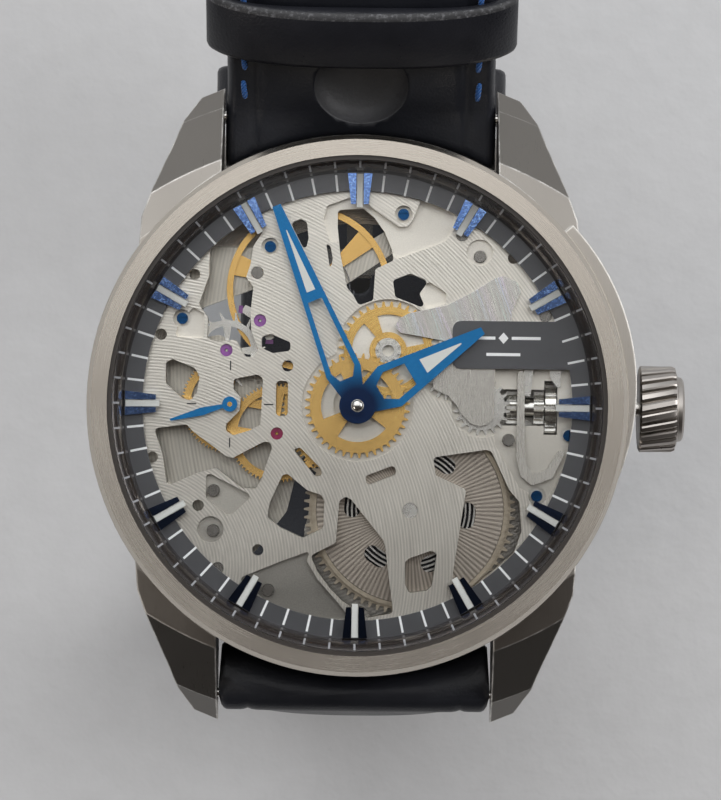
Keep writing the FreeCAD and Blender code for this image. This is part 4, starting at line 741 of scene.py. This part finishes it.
LUME_HIGH = 0.5
blocks = []
for hour in range(12):
    outline = [(15.75, -0.24), (18.42, -0.27), (18.42, 0.27), (15.75, 0.24)]
    blocks.append(block(turned_outline(outline, 30 * hour), RING_TOP - 0.02, RING_TOP + LUME_HIGH))
new_piece("marker_lume", *together(blocks), lume, "root", "dark_ring")

# Quarter marks of the small seconds, printed on the plate.
ticks = [bar(2.7, 3.45, 0.05, 90 * quarter, PLATE_TOP, FOURTH) for quarter in range(4)]
new_piece("seconds_marks", *together(ticks), black_print, "root", "nickel")

# A plain ornament on the name plate: a lozenge between two rules and a third rule below them.
rules = [bar(left, right, 0.12, 0, RING_TOP, (0.0, y))
         for left, right, y in ((8.6, 10.9, 5.5), (12.2, 14.5, 5.5), (10.2, 12.9, 4.2))]
lozenge = [(11.55, 5.05), (11.95, 5.5), (11.55, 5.95), (11.15, 5.5)]
rules.append(block(lozenge, RING_TOP - PRINT_SUNK, RING_TOP + PRINT_HIGH))
new_piece("plate_ornament", *together(rules), white_print, "root", "dark_ring")


def hand_lume(name, outline, angle, low, body):
    """The luminous filling near the tip of a hand."""
    filling = block(turned_outline(outline, angle), low - 0.02, low + 0.02)
    new_piece(name, *filling, lume, body, "blued_steel")


HAND_THICK = 0.16
MINUTE_HAND_TOP = 8.7 + HAND_THICK
HOUR_HAND_TOP = 8.1 + HAND_THICK
hand_lume("minute_hand_lume", [(9.8, 0.36), (9.8, -0.36), (15.0, -0.04), (15.0, 0.04)],
          MINUTE_HAND_ANGLE, MINUTE_HAND_TOP, "minute_hand")
hand_lume("hour_hand_lume", [(6.1, 0.62), (6.1, -0.62), (9.6, -0.05), (9.6, 0.05)],
          HOUR_HAND_ANGLE, HOUR_HAND_TOP, "hour_hand")

# The domed steel post over the hands.
rings = [[(radius * cos, radius * sin, level) for cos, sin in round_steps(32)]
         for level, radius in ((8.6, 0.5), (9.15, 0.5), (9.32, 0.44), (9.42, 0.3), (9.46, 0.1))]
new_piece("hand_post", *skin(rings), bright_steel, "minute_hand", "polished_steel")

# The mainspring, wound in many close turns.
COIL_TURNS = 17
COIL_STEPS = 48
COIL_INNER = 1.3
COIL_REACH = 6.0
COIL_SECTION = [(-0.07, 3.85), (0.07, 3.85), (0.07, 4.42), (-0.07, 4.42)]
rings = []
for step in range(COIL_TURNS * COIL_STEPS + 1):
    cos = math.cos(step * math.tau / COIL_STEPS)
    sin = math.sin(step * math.tau / COIL_STEPS)
    radius = COIL_INNER + COIL_REACH * step / (COIL_TURNS * COIL_STEPS)
    rings.append([(BARREL[0] + (radius + out) * cos, BARREL[1] + (radius + out) * sin, level)
                  for out, level in COIL_SECTION])
spring_piece = new_piece("mainspring_coils", *skin(rings), coil_steel, "barrel", "spring_steel")
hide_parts("mainspring")

# ---------------------------------------------------------------- crown

CROWN_AXIS_HEIGHT = 4.6
CROWN_INNER = 22.5
CROWN_LENGTH = 2.9
FLUTES = 24
FLUTE_TWIST = math.radians(10.0)
# One flute and its valley: share of a pitch, and radius.
FLUTE_PROFILE = [(-0.34, 3.37), (-0.2, 3.45), (0.2, 3.45), (0.34, 3.37), (0.44, 3.08), (0.56, 3.02)]
# The domed end: distance from the inner end, and radius.
DOME_PROFILE = [
    (2.85, 2.96), (3.02, 2.92), (3.08, 2.66), (3.1, 2.6), (3.4, 2.55), (3.56, 2.35), (3.64, 1.6),
    (3.68, 0.8), (3.69, 0.05),
]

rings = []
for ahead, grown in ((0.0, 0.93), (0.12, 1.0), (2.6, 1.0), (CROWN_LENGTH, 0.965)):
    ring = []
    twist = -FLUTE_TWIST * ahead / CROWN_LENGTH
    for flute in range(FLUTES):
        for share, radius in FLUTE_PROFILE:
            angle = (flute + share) * math.tau / FLUTES + twist
            ring.append((CROWN_INNER + ahead, radius * grown * math.cos(angle),
                         CROWN_AXIS_HEIGHT + radius * grown * math.sin(angle)))
    rings.append(ring)
crown_body = skin(rings)
rings = [[(CROWN_INNER + ahead, radius * cos, CROWN_AXIS_HEIGHT + radius * sin)
          for cos, sin in round_steps(48)] for ahead, radius in DOME_PROFILE]
crown_piece = new_piece(
    "crown_fluted", *together([crown_body, skin(rings)]), crown_steel, "crown", "polished_steel", 30.0)
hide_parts("crown")

# ---------------------------------------------------------------- leather strap

START_CAP = 1.45
END_CAP = 1.85
END_CAP_ROUND = 1.9
SEAM_INSET = 2.35
GROOVE_DEPTH = 0.14
GROOVE_WIDTH = 0.28
STITCH_PLACE = 9.35
BORDER_HEIGHT = 1.05
HOLE_COUNT = 7
HOLE_PITCH = 6.2
LAST_HOLE = 15.0


def walk(start, heading, runs, step=0.6):
    """Stations along straight and round runs: run so far, y, z and heading in degrees."""
    y, z = start
    angle = heading
    run = 0.0
    stations = [(run, y, z, angle)]
    for length, turn in runs:
        reach = math.radians(abs(turn)) * length if turn else length
        count = max(2, round(reach / step))
        for _ in range(count):
            small = turn / count
            ahead = reach / count
            middle = math.radians(angle + small / 2)
            chord = ahead if not turn else 2 * length * math.sin(math.radians(abs(small)) / 2)
            y += chord * math.cos(middle)
            z += chord * math.sin(middle)
            angle += small
            run += ahead
            stations.append((run, y, z, angle))
    return stations


def rounded(reach, half_width, radius):
    """Share of the full height left at a reach near an edge with a radius."""
    edge = max(0.0, (reach - (half_width - radius)) / radius)
    return math.sqrt(max(0.0, 1 - (edge * 0.98) ** 2))


def padding(x, half_width, middle, border, seam):
    """Height of the outer face: a padded middle, a stitched border and a rounded edge."""
    reach = abs(x)
    height = border
    if reach < seam:
        height = border + (middle - border) * (1 - (reach / seam) ** 2.6) ** 0.6
    groove = GROOVE_DEPTH * math.exp(-(((reach - seam) / GROOVE_WIDTH) ** 2))
    return (height - groove) * rounded(reach, half_width, 0.7)


def section(half_width, middle, border, under, seam):
    """A ring of (x, height) points round the strap, from the left edge over the top."""
    count = 56
    top = []
    bottom = []
    for index in range(count + 1):
        share = -math.cos(math.pi * index / count) * 0.55 + (2 * index / count - 1) * 0.45
        x = half_width * share
        top.append((x, padding(x, half_width, middle, border, seam)))
        bottom.append((x, -under * rounded(abs(x), half_width, 0.6)))
    return top + bottom[::-1]


def fitted(x, y, bar_y, run):
    """How far a point by the bar moves towards the case, so that the end follows the round case."""
    bow = END_RADIUS - math.sqrt(END_RADIUS ** 2 - min(x * x, 150.0))
    inward = min(1.0, max(0.0, abs(bar_y) - abs(y)))
    near = min(1.0, max(0.0, 1 - (run - 0.8) / 2.0))
    return -math.copysign(bow * inward * near, bar_y)


def strap_half(name, start, heading, runs, side, body, tail=0.0):
    """One half of the strap, padded, with the outer face on the given side of its path."""
    stations = walk(start, heading, runs)
    total = stations[-1][0]
    first = []
    for share in (-0.97, -0.8, -0.5, -0.2):
        back = share * START_CAP
        first.append((back, start[0] + back * math.cos(math.radians(heading)),
                      start[1] + back * math.sin(math.radians(heading)), heading))
    last = []
    end_run, end_y, end_z, end_heading = stations[-1]
    for share in (0.2, 0.5, 0.8, 0.97):
        on = share * END_CAP
        last.append((end_run + on, end_y + on * math.cos(math.radians(end_heading)),
                     end_z + on * math.sin(math.radians(end_heading)), end_heading))
    rings = []
    for run, y, z, angle in first + stations + last:
        grown = min(1.0, max(0.0, run) / 3.0)
        shrink = 1.0
        if run < 0:
            shrink *= math.sqrt(1 - (run / START_CAP) ** 2)
        half_width = STRAP_HALF_WIDTH + 0.16 * (1 - grown)
        left = total + END_CAP - run
        if tail and left < tail:
            share = 1 - left / tail
            half_width *= math.sqrt(max(0.001, 1 - share ** 2.4))
            shrink *= 1 - 0.3 * share
        if run > total:
            shrink *= math.sqrt(1 - ((run - total) / END_CAP_ROUND) ** 2)
        middle = (1.45 + 0.43 * grown) * shrink
        border = (1.38 - (1.38 - BORDER_HEIGHT) * grown) * shrink
        under = (1.42 + 0.4 * grown) * shrink
        up_y = -math.sin(math.radians(angle)) * side
        up_z = math.cos(math.radians(angle)) * side
        seam = half_width - SEAM_INSET if half_width > 5 else half_width * 0.6
        ring = []
        for x, height in section(half_width, middle, border, under, seam):
            place_y = y + up_y * height
            ring.append((x, place_y + fitted(x, place_y, start[0], run), z + up_z * height))
        rings.append(ring)
    looks = [strap_leather if side > 0 else fold_leather, lining_leather]
    return new_piece(name, *skin(rings), looks, body, "black_leather", 60.0), stations


ACROSS = Vector((1, 0, 0))


def at_run(stations, run):
    """The place and heading at a run along the stations."""
    for before, after in zip(stations, stations[1:]):
        if after[0] >= run:
            share = (run - before[0]) / (after[0] - before[0])
            return [a + (b - a) * share for a, b in zip(before, after)][1:]
    return list(stations[-1][1:])


def frame_at(stations, run, side):
    """Place, forward direction and outward direction at a run."""
    y, z, heading = at_run(stations, run)
    angle = math.radians(heading)
    forward = Vector((0, math.cos(angle), math.sin(angle)))
    outward = Vector((0, -math.sin(angle), math.cos(angle))) * side
    return Vector((0, y, z)), forward, outward


STITCH_PITCH = 2.8
STITCH_LENGTH = 2.15


def stitch_row(stations, side, runs):
    """Slightly slanted thread stitches sunk in both borders of the strap."""
    parts = []
    for across in (-1, 1):
        run = runs[0]
        while run < runs[1]:
            middle, forward, outward = frame_at(stations, run, side)
            lean = Vector((0.09 * across, 0, 0)) + forward
            lean.normalize()
            sideways = lean.cross(outward)
            base = middle + Vector((across * STITCH_PLACE, 0, 0)) + outward * (BORDER_HEIGHT - 0.06)
            rings = []
            for step in range(9):
                share = -1 + step / 4
                bulge = math.sqrt(max(0.02, 1 - share ** 4))
                arch = 0.12 * (1 - share ** 2)
                centre = base + lean * (share * STITCH_LENGTH / 2) + outward * (arch - 0.08 * share ** 2)
                rings.append([centre + sideways * (0.23 * bulge * cos) + outward * (0.17 * bulge * sin)
                              for cos, sin in round_steps(10)])
            parts.append(skin(rings))
            run += STITCH_PITCH
    return together(parts)


def rod(place, along, radius, reach):
    """A round cutter through a place, at right angles to the strap's width."""
    one = along.cross(ACROSS)
    two = along.cross(one)
    return skin([[place + along * share * reach + one * radius * cos + two * radius * sin
                  for cos, sin in round_steps(24)] for share in (-1, 1)])


short_piece, short_stations = strap_half(
    "strap_short_leather", BAR_PLACE, SHORT_HEADING, SHORT_RUNS, 1, "strap_short")
long_piece, long_stations = strap_half(
    "strap_long_leather", (-BAR_PLACE[0], BAR_PLACE[1]), LONG_HEADING, LONG_RUNS, -1,
    "strap_long", tail=11.0)
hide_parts("strap_short")
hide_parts("strap_long")

# The wide round hole by the case stops short of the lining.
DISH_PROFILE = [(6.0, 3.8), (1.4, 3.75), (0.7, 3.55), (0.2, 3.0), (-0.15, 2.0), (-0.25, 0.2)]
place, forward, outward = frame_at(short_stations, HOLE_PLACE, 1)
rings = [[place + outward * height + ACROSS * radius * cos + forward * radius * sin
          for cos, sin in round_steps(72)] for height, radius in DISH_PROFILE]
cutter = new_piece("hole_cutter", *skin(rings), dish_leather, None, None)
cut_away(short_piece, cutter)

# The notch for the tongue at the buckle end.
short_total = short_stations[-1][0]
place = frame_at(short_stations, short_total, 1)[0]
notch = [(x, place.y - 0.4 + y) for x, y in ((-1.6, -2.6), (1.6, -2.6), (1.6, 2.6), (-1.6, 2.6))]
cutter = new_piece(
    "notch_cutter", *block(notch, place.z - 3.0, place.z + 3.0), lining_leather, None, None)
cut_away(short_piece, cutter)

# Adjustment holes in the long half.
long_total = long_stations[-1][0]
parts = []
for index in range(HOLE_COUNT):
    place, _, outward = frame_at(long_stations, long_total - LAST_HOLE - HOLE_PITCH * index, -1)
    parts.append(rod(place, outward, 1.0, 4.0))
cutter = new_piece("hole_row_cutter", *together(parts), lining_leather, None, None)
cut_away(long_piece, cutter)

stitches = stitch_row(short_stations, 1, (3.26, short_total - 3.5))
new_piece("stitches_short", *stitches, blue_thread, "strap_short", "black_leather", 60.0)
stitches = stitch_row(long_stations, -1, (4.5, long_total - 9.0))
new_piece("stitches_long", *stitches, blue_thread, "strap_long", "black_leather", 60.0)


# A keeper's section: share of half its width, and share of its thickness from the inside.
KEEPER_EDGE = [
    (-1.0, 0.3), (-0.97, 0.7), (-0.9, 0.92), (-0.78, 1.0), (0.78, 1.0), (0.9, 0.92), (0.97, 0.7),
    (1.0, 0.3), (0.97, 0.0), (-0.97, 0.0),
]
KEEPER_OUTER = 12.35
KEEPER_INNER = 10.95
# The keeper's upper outer edge is lighter because of wear and because of a painted highlight on the edge
# that faces the light.
WORN_AND_HIGHLIT_EDGE = (4, 5)


def keeper(name, node, run, width, body):
    """A leather loop, arched over the padded short half, with rounded edges."""
    place, forward, outward = frame_at(short_stations, run, 1)
    rings = []
    for cos, sin in round_steps(120):
        x = math.copysign(abs(cos) ** 0.62, cos)
        if sin >= 0:
            outer_up = 3.4 * (1 - abs(x) ** 2.6) ** 0.62
            inner_up = 2.12 * (1 - abs(x) ** 4) ** 0.5
        else:
            outer_up = -2.9 * (1 - abs(x) ** 6) ** 0.5
            inner_up = -2.0 * (1 - abs(x) ** 8) ** 0.5
        inner = Vector((x * KEEPER_INNER, 0, 0)) + outward * inner_up
        outer = Vector((x * KEEPER_OUTER, 0, 0)) + outward * outer_up
        rings.append([place + inner.lerp(outer, out) + forward * along * width / 2
                      for along, out in KEEPER_EDGE])
    looks = [keeper_leather, worn_leather_and_highlight]
    piece = new_piece(name, *skin(rings, closed=True), looks, body, "black_leather", 60.0)
    for index, face in enumerate(piece.data.polygons):
        face.material_index = 1 if index % len(KEEPER_EDGE) in WORN_AND_HIGHLIT_EDGE else 0
    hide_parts(node)


keeper("keeper_free_leather", "keeper_free", KEEPER_PLACE, 5.3, "keeper_free")
keeper("keeper_fixed_leather", "keeper_fixed", short_total - 4.9, 5.0, "strap_short")

# ---------------------------------------------------------------- floor, light and camera

floor_shade = Shade("pale_floor")
weave = floor_shade.noise(None, 0.35, 3.0)
floor_shade.set(
    Base_Color=floor_shade.blend(weave, (0.56, 0.56, 0.565), (0.62, 0.62, 0.625)),
    Roughness=0.8,
    Normal=floor_shade.bump(weave, 0.1),
)
FLOOR_GAP = 0.0003
bpy.ops.mesh.primitive_plane_add(size=3.0, location=(0, 0, CAD_BOX[0][2] - FLOOR_GAP))
floor = bpy.context.object
floor.name = "floor"
floor.data.materials.append(floor_shade.material)


def soft_light(name, place, aim, width, height, power, colour=(1, 1, 1)):
    """A rectangular lamp in metres and watts."""
    light = bpy.data.lights.new(name, "AREA")
    light.shape = "RECTANGLE"
    light.size = width
    light.size_y = height
    light.energy = power
    light.color = colour
    lamp = bpy.data.objects.new(name, light)
    lamp.location = place
    lamp.rotation_euler = (Vector(aim) - Vector(place)).to_track_quat("-Z", "Y").to_euler()
    bpy.context.collection.objects.link(lamp)


# The key hangs flat over the head of the dial. The others aim at the object.
soft_light("key", (-0.1, 0.45, 0.8), (-0.1, 0.45, 0), 1.1, 0.8, 3.1)
soft_light("back", (-0.3, 1.15, 0.9), (0, 0, 0), 1.2, 0.8, 5.5)
soft_light("side", (0.9, 0.2, 0.6), (0, 0, 0), 0.6, 0.5, 5.0)
soft_light("front", (-0.7, -0.5, 0.6), (0, 0, 0), 0.4, 0.4, 1.6, (1.0, 0.94, 0.88))

WORLD_STRENGTH = 0.85
DARK_SIDE = -0.35
LIGHT_SIDE = 0.25
# Share of the way from the dark side, and the tone there.
WORLD_TONES = [(0.48, (0.075, 0.064, 0.057, 1)), (0.63, (0.36, 0.34, 0.33, 1))]


def studio_world():
    """A room that is dark towards the foot of the dial and light towards its head."""
    world = bpy.data.worlds.new("studio")
    world.use_nodes = True
    bpy.context.scene.world = world
    tree = world.node_tree
    direction = tree.nodes.new("ShaderNodeTexCoord")
    split = tree.nodes.new("ShaderNodeSeparateXYZ")
    tree.links.new(direction.outputs["Generated"], split.inputs[0])
    ramp = tree.nodes.new("ShaderNodeValToRGB")
    spread = tree.nodes.new("ShaderNodeMapRange")
    spread.inputs["From Min"].default_value = DARK_SIDE
    spread.inputs["From Max"].default_value = LIGHT_SIDE
    tree.links.new(split.outputs["Y"], spread.inputs["Value"])
    tree.links.new(spread.outputs["Result"], ramp.inputs["Fac"])
    ramp.color_ramp.elements[0].color = (0.05, 0.042, 0.038, 1)
    ramp.color_ramp.elements[1].color = (0.8, 0.82, 0.85, 1)
    for share, tone in WORLD_TONES:
        ramp.color_ramp.elements.new(share).color = tone
    tree.links.new(ramp.outputs["Color"], tree.nodes["Background"].inputs["Color"])
    tree.nodes["Background"].inputs["Strength"].default_value = WORLD_STRENGTH


studio_world()

# The camera looks straight down, a little off the centre and slightly rolled, as in the photograph.
CAMERA_PLACE = (0.00024, 0.00045, 0.356)
CAMERA_ROLL = math.radians(0.7)
camera_data = bpy.data.cameras.new("camera")
camera_data.sensor_fit = "HORIZONTAL"
camera_data.sensor_width = 36.0
camera_data.lens = 218.9
camera_data.clip_start = 0.01
camera = bpy.data.objects.new("camera", camera_data)
camera.location = CAMERA_PLACE
camera.rotation_euler = (0, 0, CAMERA_ROLL)
bpy.context.collection.objects.link(camera)
bpy.context.scene.camera = camera
bpy.context.scene.view_settings.view_transform = "Standard"
